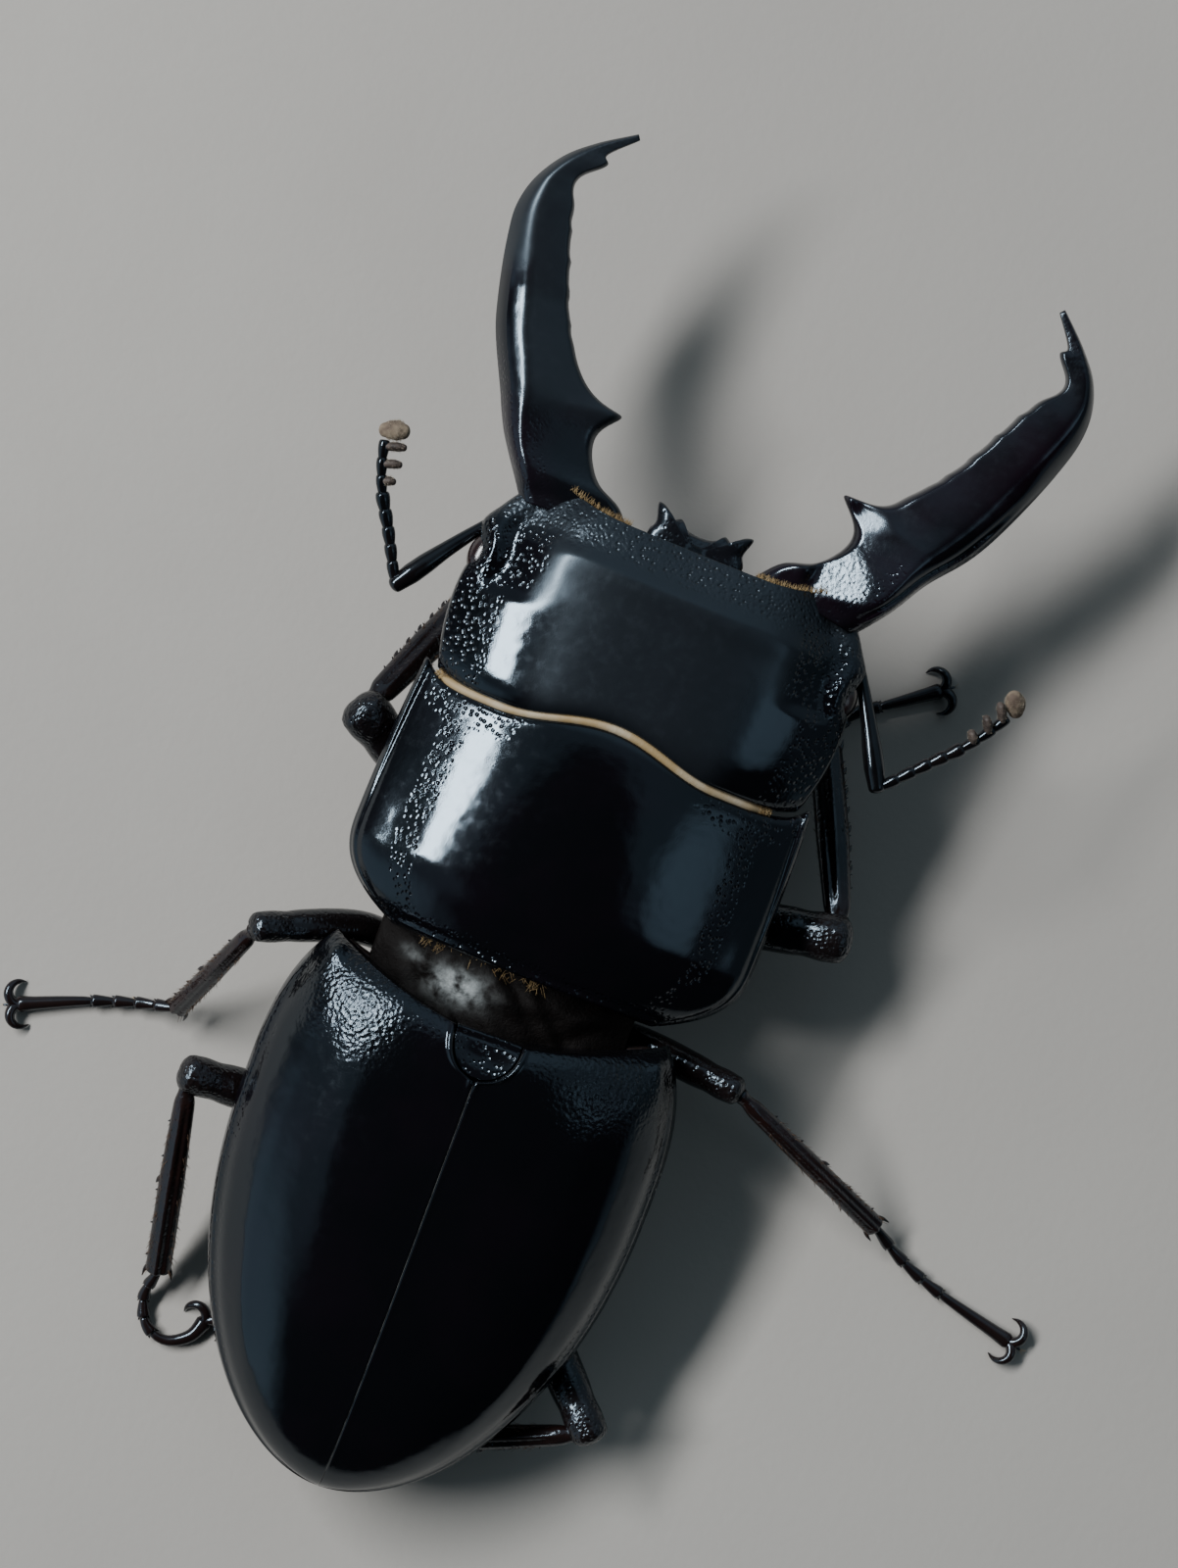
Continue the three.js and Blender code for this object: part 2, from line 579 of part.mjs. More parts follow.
// The stations of the left or the right mandible.
function mandibleStations(cast) {
  const between = (y, from, to) =>
    THREE.MathUtils.smoothstep(y, from, from + 4) * (1 - THREE.MathUtils.smoothstep(y, to - 4.5, to));
  return MANDIBLE.stations.map(([outX, outY, inX, inY, half, rise]) => {
    const wider = cast.outer * between(outY, 5, 20.5);
    const pinched = cast.base * Math.exp(-(((outY - 4.2) / 2.4) ** 2));
    const deeper = cast.inner * between(inY, 5.5, 20);
    return [outX + wider + pinched, outY * cast.stretch, inX + deeper, inY * cast.stretch, half, rise];
  });
}

// Outer edge towards +x; the base line lies on the hinge and the blade runs along +y.
function mandibleBlade(cast) {
  const stations = mandibleStations(cast);
  const edge = (first, third) => new THREE.CatmullRomCurve3(
    stations.map((s) => new THREE.Vector3(s[first], s[first + 1], s[third])));
  const outer = edge(0, 4);
  const inner = edge(2, 5);
  const sides = 8;
  const rings = steps(11).map((t) => {
    const out = outer.getPoint(t);
    const inn = inner.getPoint(t);
    const halfHeight = out.z;
    const rise = inn.z;
    return Array.from({ length: sides }, (_, k) => {
      const angle = (k / sides) * 2 * Math.PI;
      const reach = Math.cos(angle);
      const height = Math.sin(angle) * halfHeight * (0.8 + 0.2 * reach);
      return new THREE.Vector3(
        lerp(inn.x, out.x, (reach + 1) / 2),
        lerp(inn.y, out.y, (reach + 1) / 2),
        rise + height,
      );
    });
  });
  const middle = (ring) => ring.reduce((sum, p) => sum.add(p), new THREE.Vector3()).divideScalar(sides);
  const blade = loft(rings, middle(rings[0]), middle(rings[rings.length - 1]));
  const teeth = MANDIBLE.teeth.map(({ path, radii }, index) => {
    const rise = index === 0 ? -0.2 : 0.7;
    const reach = index === 0 ? cast.tooth : 0;
    const last = path.length - 1;
    return spike(path.map(([x, y], at) => [x - reach * (at / last) ** 2, y * cast.stretch, rise]), radii);
  });
  return joined(blade, ...teeth);
}

function addMandible(parent, side, head) {
  const sign = side === 'left' ? -1 : 1;
  const geometry = outward(mandibleBlade(MANDIBLE.cast[side]).scale(sign, 1, 1));
  const mesh = piece(parent, `mandible_${side}`, geometry, 'shell');
  mesh.position.set(sign * MANDIBLE.hinge[0], MANDIBLE.hinge[1], MANDIBLE.hinge[2]);
  mesh.rotation.z = -sign * radians(MANDIBLE.spread[side]);
  mesh.updateMatrix();
  const cutter = placed(moved(head, [0, CUT, 0]), mesh.matrix.clone().invert());
  mesh.geometry = without(geometry, cutter);
}

// Each segment of the feeler swells from a thin neck to its far end.
function whipPart(curve, from, to) {
  const cuts = from === CLUB_FROM ? [[0.45, 0.33]] : [[0.08, 0.3], [0.7, 0.37]];
  const radii = new Map();
  for (let segment = from; segment < to; segment += 1) {
    const grow = from === CLUB_FROM ? 1 : lerp(1, 1.22, segment / CLUB_FROM);
    cuts.forEach(([share, radius]) => radii.set((segment + share) / WHIP_SEGMENTS, grow * radius));
  }
  return limb(curve, [...radii.keys()], (t) => [radii.get(t), radii.get(t)], 5, 0.2);
}

// A plate of the club, growing from the inner side of its segment. The last one is a round cap.
function lamella(curve, inward, reach, index) {
  const last = index === LAMELLAE.length - 1;
  const direction = vector(inward).normalize();
  const centre = curve.getPointAt((CLUB_FROM + index + 0.6) / WHIP_SEGMENTS);
  const root = centre.clone().addScaledVector(direction, last ? -0.25 : 0);
  const lean = curve.getTangentAt(1).multiplyScalar(0.12 * reach);
  const path = new THREE.LineCurve3(root, centre.clone().addScaledVector(direction, reach).add(lean));
  const thick = last ? 0.45 : THINNEST;
  return limb(path, [0, 0.85], (t) => [thick, 0.32 + 0.25 * t], 4, 0.6);
}

function addAntenna(parent, side, head) {
  const { scape, whip, inward } = ANTENNAE[side];
  const sign = side === 'left' ? -1 : 1;
  const scapeSolid = spike(scape, SCAPE_RADII, 6);
  piece(parent, `antenna_${side}_scape`, without(scapeSolid, moved(head, [sign * CUT, 0, 0])), 'limb');
  const curve = new THREE.CatmullRomCurve3(whip.map(vector));
  const elbowSpace = spike(scape, SCAPE_RADII.map((radius) => radius + CUT), 6);
  piece(parent, `antenna_${side}_funicle`, without(whipPart(curve, 0, CLUB_FROM), elbowSpace), 'limb');
  const plates = LAMELLAE.map((reach, index) => lamella(curve, inward, reach, index));
  piece(parent, `antenna_${side}_club`, joined(whipPart(curve, CLUB_FROM, WHIP_SEGMENTS), ...plates), 'club');
}

// A palp under the mouth: a chain of short swollen segments. sign is 1 for the right one.
function palp(path, sign, radius, segments) {
  const curve = new THREE.CatmullRomCurve3(path.map(([x, y, z]) => new THREE.Vector3(sign * x, y, z)));
  return limb(curve, steps(segments * 2), (t) => {
    const swell = radius * (0.72 + 0.28 * Math.abs(Math.sin(Math.PI * t * segments)));
    return [swell, swell];
  }, 5, 0.6);
}

// ---------------------------------------------------------------- legs

function femur(leg, girth) {
  const hip = new THREE.Vector3(leg.hip[0], leg.hip[1], FEMUR.startZ);
  const heading = vector(leg.thigh).sub(hip).setZ(0).normalize();
  const start = hip.clone().addScaledVector(heading, FEMUR.start);
  const curve = new THREE.CatmullRomCurve3([start, vector(leg.thigh), vector(leg.knee)]);
  const swell = (t) => Math.sin(Math.PI * clamp01(t) ** 0.85) ** 0.8;
  return limb(curve, [0, 0.2, 0.5, 0.78, 0.94, 1], (t) => {
    const round = t > 0.98 ? 0.66 : 1;
    return [0, 1].map((axis) => round * lerp(girth.kneeEnd[axis], girth.femur[axis], swell(t)));
  }, 8, 0.3);
}

// The shin starts just past the ball of the knee, widens to the ankle and carries its spines.
function tibia(leg, girth, spines) {
  const knee = vector(leg.knee);
  const ankle = vector(leg.ankle);
  const direction = ankle.clone().sub(knee).normalize();
  const start = knee.clone().addScaledVector(direction, girth.kneeEnd[0] + 3 * CUT);
  const middle = start.clone().lerp(ankle, 0.5);
  middle.z += 0.35;
  const curve = new THREE.CatmullRomCurve3([start, middle, ankle]);
  const [thin, broad, end] = girth.shin;
  const half = (t, axis) => (t < 0.5
    ? lerp(thin[axis], broad[axis], t / 0.5)
    : lerp(broad[axis], end[axis], ((t - 0.5) / 0.5) ** 2));
  const shaft = limb(curve, [0, 0.3, 0.6, 0.85, 1], (t) => [half(t, 0), half(t, 1)], 8, 0.25);
  const side = direction.clone().cross(new THREE.Vector3(0, 0, 1)).normalize();
  const outer = side.multiplyScalar(side.x * leg.knee[0] >= 0 ? 1 : -1);
  const thorn = (t, sideways, onward) => {
    const root = curve.getPointAt(t);
    const tip = root.clone().addScaledVector(outer, sideways).addScaledVector(direction, onward);
    return spike([root.toArray(), tip.toArray()], [0.44, THINNEST], 4);
  };
  const thorns = spines.map((t) => thorn(t, half(t, 0) + 0.12, 0.36));
  const spurs = [1, -1].map((turn) => thorn(0.95, turn * (end[0] + 0.1), 1.05));
  return joined(shaft, ...thorns, ...spurs);
}

// A hooked claw: an arc that leaves the foot almost straight ahead and curls to one side.
function claw(base, heading, turn) {
  const parts = 4;
  const path = [base.clone()];
  for (let index = 0; index < parts; index += 1) {
    const angle = turn * radians(FOOT.clawSpread + (FOOT.clawCurl * (index + 0.5)) / parts);
    const step = heading.clone().applyAxisAngle(new THREE.Vector3(0, 0, 1), angle);
    path.push(path[index].clone().addScaledVector(step, FOOT.clawLength / parts));
  }
  path.forEach((point, index) => {
    const share = index / parts;
    point.z = lerp(base.z, THINNEST, share) + 0.3 * Math.sin(Math.PI * share);
  });
  const curve = new THREE.CatmullRomCurve3(path);
  return limb(curve, [0, 0.36, 0.7, 1], (t) => [lerp(0.36, THINNEST, t), lerp(0.36, THINNEST, t)], 5, 0.4);
}

// Five foot segments, the last one long, and two claws, all trimmed flat at the floor.
function tarsus(leg, girth) {
  const ankle = vector(leg.ankle);
  const direction = ankle.clone().sub(vector(leg.knee)).normalize();
  const start = ankle.clone().addScaledVector(direction, 0.25 * girth.shin[2][0] + 2 * CUT);
  const curve = new THREE.CatmullRomCurve3([start, ...leg.foot.map(vector)]);
  const joints = [0, 0.15, 0.28, 0.41, 0.54, 1];
  const stations = [];
  const radii = new Map();
  for (let segment = 0; segment + 1 < joints.length; segment += 1) {
    const [neck, lobe] = segment + 2 < joints.length ? [FOOT.waist, FOOT.lobe] : FOOT.last;
    [[0.08, neck], [0.88, lobe]].forEach(([share, radius]) => {
      const t = lerp(joints[segment], joints[segment + 1], share);
      stations.push(t);
      radii.set(t, radius);
    });
  }
  const sole = limb(curve, stations, (t) => [radii.get(t), radii.get(t)], 5, 0.4);
  const heading = curve.getTangentAt(1).setZ(0).normalize();
  const base = curve.getPointAt(0.96);
  const claws = [1, -1].map((turn) => claw(base, heading, turn));
  const floor = new THREE.BoxGeometry(200, 200, 10).translate(0, 0, -5);
  return without(joined(sole, ...claws), outward(floor));
}

function addLeg(parent, name, leg, trim) {
  const pair = name.split('_')[0];
  const hipCentre = [leg.hip[0], leg.hip[1], COXA.z];
  piece(parent, `leg_${name}_coxa`, without(ellipsoid(hipCentre, COXA.radii, 8, 6), trim), 'belly');
  const hipSpace = ellipsoid(hipCentre, COXA.radii.map((radius) => radius + CUT), 8, 6);
  piece(parent, `leg_${name}_femur`, without(femur(leg, GIRTH[pair]), trim, hipSpace), 'limb');
  piece(parent, `leg_${name}_tibia`, tibia(leg, GIRTH[pair], SHIN_SPINES[pair]), 'limb');
  piece(parent, `leg_${name}_tarsus`, tarsus(leg, GIRTH[pair]), 'limb');
}

// ---------------------------------------------------------------- assembly

const group = new THREE.Group();

const hindBody = new THREE.Group();
hindBody.position.x = HIND_BODY.x;
hindBody.rotation.z = radians(HIND_BODY.yaw);
hindBody.updateMatrix();
group.add(hindBody);
piece(hindBody, 'elytron_left', elytron(-1), 'shell');
piece(hindBody, 'elytron_right', elytron(1), 'shell');
piece(hindBody, 'scutellum', scutellum(), 'shell');
piece(hindBody, 'mesothorax', mesothorax(), 'membrane');
piece(hindBody, 'metasternum', metasternum(), 'belly');
piece(hindBody, 'abdomen', abdomen(), 'belly');

piece(group, 'pronotum', pronotum(), 'shell');
piece(group, 'prosternum', prosternum(), 'belly');

const eyeCentre = (sign) => [sign * EYE.x, EYE.y, EYE.z];
const socketRadii = EYE.radii.map((radius) => radius + CUT);
const sockets = [-1, 1].map((sign) => ellipsoid(eyeCentre(sign), socketRadii, 8, 6));
const headSolid = headShell();
piece(group, 'head', without(headSolid, ...sockets), 'shell');
piece(group, 'eye_left', ellipsoid(eyeCentre(-1), EYE.radii, 10, 6), 'eye');
piece(group, 'eye_right', ellipsoid(eyeCentre(1), EYE.radii, 10, 6), 'eye');
piece(group, 'clypeus', without(clypeus(), moved(headSolid, [0, CUT, 0])), 'shell');
piece(group, 'mentum', mentum(), 'belly');

for (const [side, sign] of [['left', -1], ['right', 1]]) {
  addMandible(group, side, headSolid);
  addAntenna(group, side, headSolid);
  piece(group, `maxillary_palp_${side}`, palp(PALPS.maxillary, sign, 0.42, 4), 'limb');
  piece(group, `labial_palp_${side}`, palp(PALPS.labial, sign, 0.36, 3), 'limb');
}

const trims = { front: frontTrim(), hind: placed(hindTrim(), hindBody.matrix) };
for (const [name, leg] of Object.entries(LEGS)) {
  addLeg(group, name, leg, name.startsWith('front') ? trims.front : trims.hind);
}

// The footprint's middle becomes the origin. The feet already stand on z = 0.
const bounds = new THREE.Box3().setFromObject(group, true);
group.position.set(-(bounds.min.x + bounds.max.x) / 2, -(bounds.min.y + bounds.max.y) / 2, 0);

export default group;
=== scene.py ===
"""The looks of the stag beetle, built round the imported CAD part. For Blender 4.5.

Shapes are worked out in millimetres in the model's own frame: +X is the beetle's right,
+Y runs to the mandibles, +Z is up, y = 0 is the rear margin of the pronotum.
to_row() turns them into the row frame in metres.
"""

import math

import bmesh
import bpy
import numpy as np
from mathutils import Matrix, Vector


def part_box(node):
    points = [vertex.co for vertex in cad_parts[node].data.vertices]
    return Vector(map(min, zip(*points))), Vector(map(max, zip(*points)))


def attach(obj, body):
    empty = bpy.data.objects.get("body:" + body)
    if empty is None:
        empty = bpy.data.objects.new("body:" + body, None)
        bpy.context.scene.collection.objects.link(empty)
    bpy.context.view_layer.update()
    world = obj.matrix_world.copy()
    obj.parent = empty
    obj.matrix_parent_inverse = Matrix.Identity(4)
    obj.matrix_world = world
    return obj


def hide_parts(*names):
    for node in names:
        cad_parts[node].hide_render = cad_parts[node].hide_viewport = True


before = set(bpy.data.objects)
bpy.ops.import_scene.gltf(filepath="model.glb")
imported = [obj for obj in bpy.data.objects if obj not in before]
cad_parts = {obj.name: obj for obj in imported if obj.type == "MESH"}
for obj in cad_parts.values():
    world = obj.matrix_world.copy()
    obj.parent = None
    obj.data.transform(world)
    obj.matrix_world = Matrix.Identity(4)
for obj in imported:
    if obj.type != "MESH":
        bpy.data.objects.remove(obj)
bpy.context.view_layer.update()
rng = np.random.default_rng(11)

MM = 0.001
pronotum_low, pronotum_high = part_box("pronotum")
WAIST = np.array([(pronotum_low.x + pronotum_high.x) / 2, pronotum_low.y, 0.0]) / MM
HIND_BODY = {"x": -0.75, "yaw": 1.8}

# ---------------------------------------------------------------- dimensions, in millimetres

ELYTRA = {
    "half_width": 12.95,
    "widest_y": -12.0,
    "apex_y": -34.1,
    "shoulder_y": -1.3,
    "shoulder_half_width": 10.6,
    "base_y": -3.9,
    "margin_z": 9.9,
    "margin_slope": 0.11,
    "height": 6.3,
    "rim": 0.6,
}
SCUTELLUM = {"half_width": 2.0, "base_y": -3.75, "apex_y": -6.5, "thickness": 1.2}
SUTURE = 0.015  # half the gap between the wing cases
PRONOTUM = {
    "half_width": 12.75,
    "rear_half_width": 8.35,
    "corner": 5.5,
    "front_half_width": 12.35,
    "front_y": 14.35,
    "lobe": 1.25,
    "lobe_x": -0.5,
    "lobe_half_width": 7.0,
    "margin_z": 10.6,
    "margin_slope": 0.05,
    "height": 4.7,
    "rim": 0.7,
}
HEAD = {
    "half_width": 12.3,
    "widest_y": 20.0,
    "front_corner_x": 9.6,
    "front_corner_y": 27.8,
    "front_y": 27.1,
    "margin_z": 12.0,
    "wall": 1.3,
    "height": 3.2,
    "depth": 3.2,
    "ridge_y": 24.2,
    "drop": 1.7,
    "rear_half_width": 11.7,
    "rear_gap": 0.45,  # behind it lies the seam
}
EYE = {"centre": (11.5, 22.35, 11.5), "radii": (1.02, 1.4, 0.95)}
BELLY = {
    "share": 0.88,  # of the width of the wing cases
    "keel_z": 4.4,
    "tail_keel_z": 5.2,
    "hind_y": -33.1,
    "coxa_y": -15.7,
    "throat_y": 13.9,
}
MESOTHORAX = {"half_width": 8.2, "middle_z": 11.75, "side_z": 9.1, "front_y": 0.3}
MENTUM = {"rear_y": 20.2, "front_y": 25.4, "top_z": 7.35, "thickness": 0.72}
PALPS = {
    "maxillary": {
        "line": [(5.9, 22.6, 6.9), (6.6, 24.6, 6.6), (6.2, 26.4, 6.8), (5.2, 27.4, 7.3)],
        "radius": 0.42, "beads": 4,
    },
    "labial": {"line": [(2.0, 23.4, 6.1), (2.3, 25.2, 5.9), (1.9, 26.9, 6.3)], "radius": 0.36, "beads": 3},
}

MANDIBLE_HINGE = (10.9, 26.75, 11.7)
MANDIBLE_SPREAD = {"left": 4.3, "right": 11.4}
# How each one differs from the stations: its edges along the blade and at the base, its main tooth
# and length, the groove, satin, crown and facet of its upper face, and the climb of its blade. The
# left one's upper face takes far more of the lighter satin colour than the right one's: on top of
# the satin finish, painted sheen for how the light falls on each.
MANDIBLE_CAST = {
    "left": {
        "outer": 0.45, "inner": 0.3, "base": 0.0, "tooth": 1.75, "stretch": 0.975,
        "groove": 0.0, "satin_and_sheen": 0.9, "crown": 0.72, "facet": 0.0, "climb": 0.12,
    },
    "right": {
        "outer": 0.0, "inner": -0.5, "base": -0.6, "tooth": 2.45, "stretch": 1.0,
        "groove": 1.0, "satin_and_sheen": 0.25, "crown": 1.0, "facet": 1.0, "climb": 0.0,
    },
}
FACET = {"z": 1.63, "x": -1.3, "y": 3, "slope_x": 0.42, "slope_y": 0.07}
# From base to tip: outer edge x y, inner edge x y, half thickness, rise of the middle line.
MANDIBLE_STATIONS = [
    (-0.1, -0.6, -6.9, -0.8, 2.0, 0.0),
    (0.6, 0.6, -5.95, 0.75, 2.1, 0.0),
    (1.5, 2.1, -4.3, 1.85, 2.2, -0.1),
    (2.15, 3.3, -3.5, 3.1, 2.2, -0.2),
    (2.95, 5.3, -2.8, 5.3, 2.05, -0.3),
    (3.65, 7.6, -1.6, 7.7, 1.9, -0.3),
    (4.4, 10.9, 0.0, 10.7, 1.75, -0.2),
    (4.9, 14.2, 1.1, 14.2, 1.6, 0.1),
    (5.0, 16.6, 1.95, 17.2, 1.35, 0.4),
    (4.6, 18.4, 2.4, 18.6, 1.1, 0.6),
    (3.6, 20.0, 2.0, 19.6, 0.85, 0.8),
    (2.0, 21.3, 1.2, 20.8, 0.55, 0.9),
    (-0.2, 22.6, -0.4, 22.25, 0.24, 1.0),
]

ANTENNAE = {
    "left": {
        "scape": [(-11.6, 24.8, 10.9), (-13.8, 21.8, 11.2), (-15.8, 18.75, 11.5)],
        "whip": [
            (-16.0, 19.1, 11.5), (-17.4, 21.65, 12.0), (-18.45, 23.4, 12.3), (-19.1, 24.9, 12.6), (-19.75, 27.4, 12.9),
        ],
        "inward": (0.957, 0.29, 0),
    },
    "right": {
        "scape": [(11.8, 24.9, 10.9), (13.65, 21.75, 11.2), (15.55, 18.25, 11.5)],
        "whip": [
            (15.8, 18.5, 11.5), (18.0, 20.95, 12.0), (19.25, 22.3, 12.3), (20.3, 23.7, 12.6), (21.6, 26.0, 12.9),
        ],
        "inward": (-0.6, 0.8, 0.7),
    },
}
WHIP_SEGMENTS = 9
LAMELLAE = {5: 0.85, 6: 1.2, 7: 1.35}  # reach of the leaf on each whip segment of the club
CAP_REACH = 1.05

LEGS = {
    "front_left": {
        "hip": (-4.2, 5.5), "thigh": (-10.2, 8.6, 6.4), "knee": (-14.8, 11.1, 9.3), "ankle": (-10.9, 20.7, 2.1),
        "foot": [(-9.9, 22.3, 0.8), (-7.0, 23.9, 0.55), (-3.4, 25.0, 0.5)],
    },
    "front_right": {
        "hip": (4.2, 5.5), "thigh": (11.4, 7.6, 5.9), "knee": (17.4, 8.95, 7.6), "ankle": (12.9, 19.6, 2.1),
        "foot": [(13.35, 21.5, 0.8), (14.2, 22.75, 0.6), (15.3, 23.5, 0.52), (18.6, 25.95, 0.5)],
    },
    "middle_left": {
        "hip": (-4.9, -2.0), "thigh": (-9.9, -1.3, 6.5), "knee": (-15.8, -3.3, 10.3), "ankle": (-18.7, -10.4, 2.0),
        "foot": [(-21.0, -11.2, 0.8), (-24.1, -12.3, 0.55), (-28.3, -14.2, 0.5)],
    },
    "middle_right": {
        "hip": (3.5, -2.0), "thigh": (9.0, -1.6, 5.9), "knee": (14.9, -2.0, 8.0), "ankle": (27.0, -7.1, 2.0),
        "foot": [(29.3, -8.4, 0.8), (31.8, -9.4, 0.55), (38.3, -11.0, 0.5)],
    },
    "hind_left": {
        "hip": (-4.3, -15.2), "thigh": (-10.4, -13.4, 4.7), "knee": (-16.4, -13.3, 7.7), "ankle": (-13.8, -26.1, 2.0),
        "foot": [
            (-14.0, -28.2, 0.75), (-13.2, -29.9, 0.55), (-11.8, -30.4, 0.5), (-10.4, -29.6, 0.5), (-9.8, -28.2, 0.5),
        ],
    },
    "hind_right": {
        "hip": (4.2, -16.0), "thigh": (9.6, -20.2, 4.4), "knee": (14.7, -25.1, 6.3), "ankle": (3.5, -30.7, 2.0),
        "foot": [(1.2, -30.2, 0.8), (-1.3, -28.9, 0.55), (-5.0, -26.6, 0.5)],
    },
}
COXA = {"z": 4.75, "radii": (2.1, 1.5, 1.75)}
TROCHANTER = {"out": 1.9, "rise": -0.9, "radii": (0.8, 0.8, 0.7)}
FEMUR = {"start_z": 3.8, "start": 2.0}
GIRTH = {
    "front": {"femur": (1.5, 1.35), "knee": (1.5, 1.2), "shin": [(0.8, 0.6), (1.05, 0.66), (1.05, 0.68)]},
    "middle": {"femur": (1.05, 1.15), "knee": (0.9, 0.95), "shin": [(0.56, 0.53), (0.66, 0.6), (0.7, 0.64)]},
    "hind": {"femur": (1.32, 1.28), "knee": (1.15, 1.05), "shin": [(0.62, 0.56), (0.8, 0.66), (0.8, 0.68)]},
}
SHIN_SPINES = {"front": (0.3, 0.41, 0.52, 0.63, 0.74, 0.86), "middle": (0.55,), "hind": (0.5,)}
FINE_TEETH = {"front": 11, "middle": 5, "hind": 5}  # small saw teeth between the spines
SHIN_RUST = {"front": 0.1, "middle": 0.22, "hind": 0.16}
BRISTLES = {"front": 150, "middle": 200, "hind": 260}
FOOT_JOINTS = (0, 0.15, 0.28, 0.41, 0.54, 1)
CLAW = {"length": 2.5, "spread": 10, "curl": 200}
FEET_Z = 0.1  # no claw or hair of a foot is lower
HAIR_PATCH = 0.003  # width of a hair's patch on the unwrap

# ---------------------------------------------------------------- small helpers


def lerp(a, b, t):
    return a + (b - a) * t


def clamp(value):
    return np.clip(value, 0.0, 1.0)


def hill(x, centre, width):
    """A smooth bump of height 1."""
    return np.exp(-(((x - centre) / width) ** 2))


def smooth(low, high, x):
    t = clamp((x - low) / (high - low))
    return t * t * (3 - 2 * t)


def unit(v):
    v = np.asarray(v, float)
    return v / np.linalg.norm(v, axis=-1, keepdims=True)


def level(v):
    """The direction of v over the ground."""
    return unit(v * np.array([1, 1, 0]))


def side_and_rise(way, up=(0, 0, 1)):
    """The directions to the side of a way and upwards from it."""
    side = unit(np.cross(way, np.array(up, float)))
    return side, np.cross(side, way)


def turns(count):
    """count angles round a full circle."""
    return np.linspace(0, 2 * math.pi, count, endpoint=False)


def spread(count, power=1.0):
    """count values from 0 to 1, closer together towards both ends when power is above 1."""
    t = np.linspace(-1, 1, count)
    return (np.sign(t) * (1 - (1 - np.abs(t)) ** power) + 1) / 2


def to_row(points, hind=False):
    p = np.array(points, float).reshape(-1, 3)
    if hind:
        turn = math.radians(HIND_BODY["yaw"])
        x = p[:, 0] * math.cos(turn) - p[:, 1] * math.sin(turn) + HIND_BODY["x"]
        y = p[:, 0] * math.sin(turn) + p[:, 1] * math.cos(turn)
        p = np.stack([x, y, p[:, 2]], -1)
    return (p + WAIST) * MM


class Path:
    """A smooth line through points: a Catmull-Rom spline with centripetal spacing."""

    def __init__(self, points, per_span=40):
        p = np.array(points, float)
        p = np.vstack([2 * p[0] - p[1], p, 2 * p[-1] - p[-2]])
        made = []
        for i in range(1, len(p) - 2):
            a, b, c = np.linalg.norm(np.diff(p[i - 1 : i + 3], axis=0), axis=1) ** 0.5
            before, here, after = p[i] - p[i - 1], p[i + 1] - p[i], p[i + 2] - p[i + 1]
            start = (before / a - (before + here) / (a + b) + here / b) * b
            end = (here / b - (here + after) / (b + c) + after / c) * b
            t = np.linspace(0, 1, per_span, endpoint=False)[:, None]
            cubic = (2 * t**3 - 3 * t**2 + 1) * p[i] + (t**3 - 2 * t**2 + t) * start
            made.append(cubic + (3 * t**2 - 2 * t**3) * p[i + 1] + (t**3 - t**2) * end)
        self.points = np.vstack([*made, p[-2]])
        steps = np.linalg.norm(np.diff(self.points, axis=0), axis=1)
        self.length = steps.sum()
        self.share = np.r_[0, np.cumsum(steps)] / self.length
        self.knots = np.linspace(0, 1, len(self.points))

    def _read(self, t, places):
        t = np.asarray(t, float)
        return np.stack([np.interp(t, places, self.points[:, k]) for k in range(3)], -1)

    def at(self, t):
        """Points at shares t of the length."""
        return self._read(t, self.share)

    def knot(self, t):
        """Points at t, where each span between two given points takes the same share."""
        return self._read(t, self.knots)

    def tangent(self, t):
        t = np.asarray(t, float)
        return unit(self.at(clamp(t + 0.004)) - self.at(clamp(t - 0.004)))


def quads(rows, columns, wrap=False, start=0):
    """Quads over a grid of rows by columns; wrap joins the last column to the first."""
    i = np.arange(columns if wrap else columns - 1)
    j = np.arange(rows - 1)[:, None]
    a = start + j * columns + i
    b = start + j * columns + (i + 1) % columns
    return np.stack([a, b, b + columns, a + columns], -1).reshape(-1, 4)


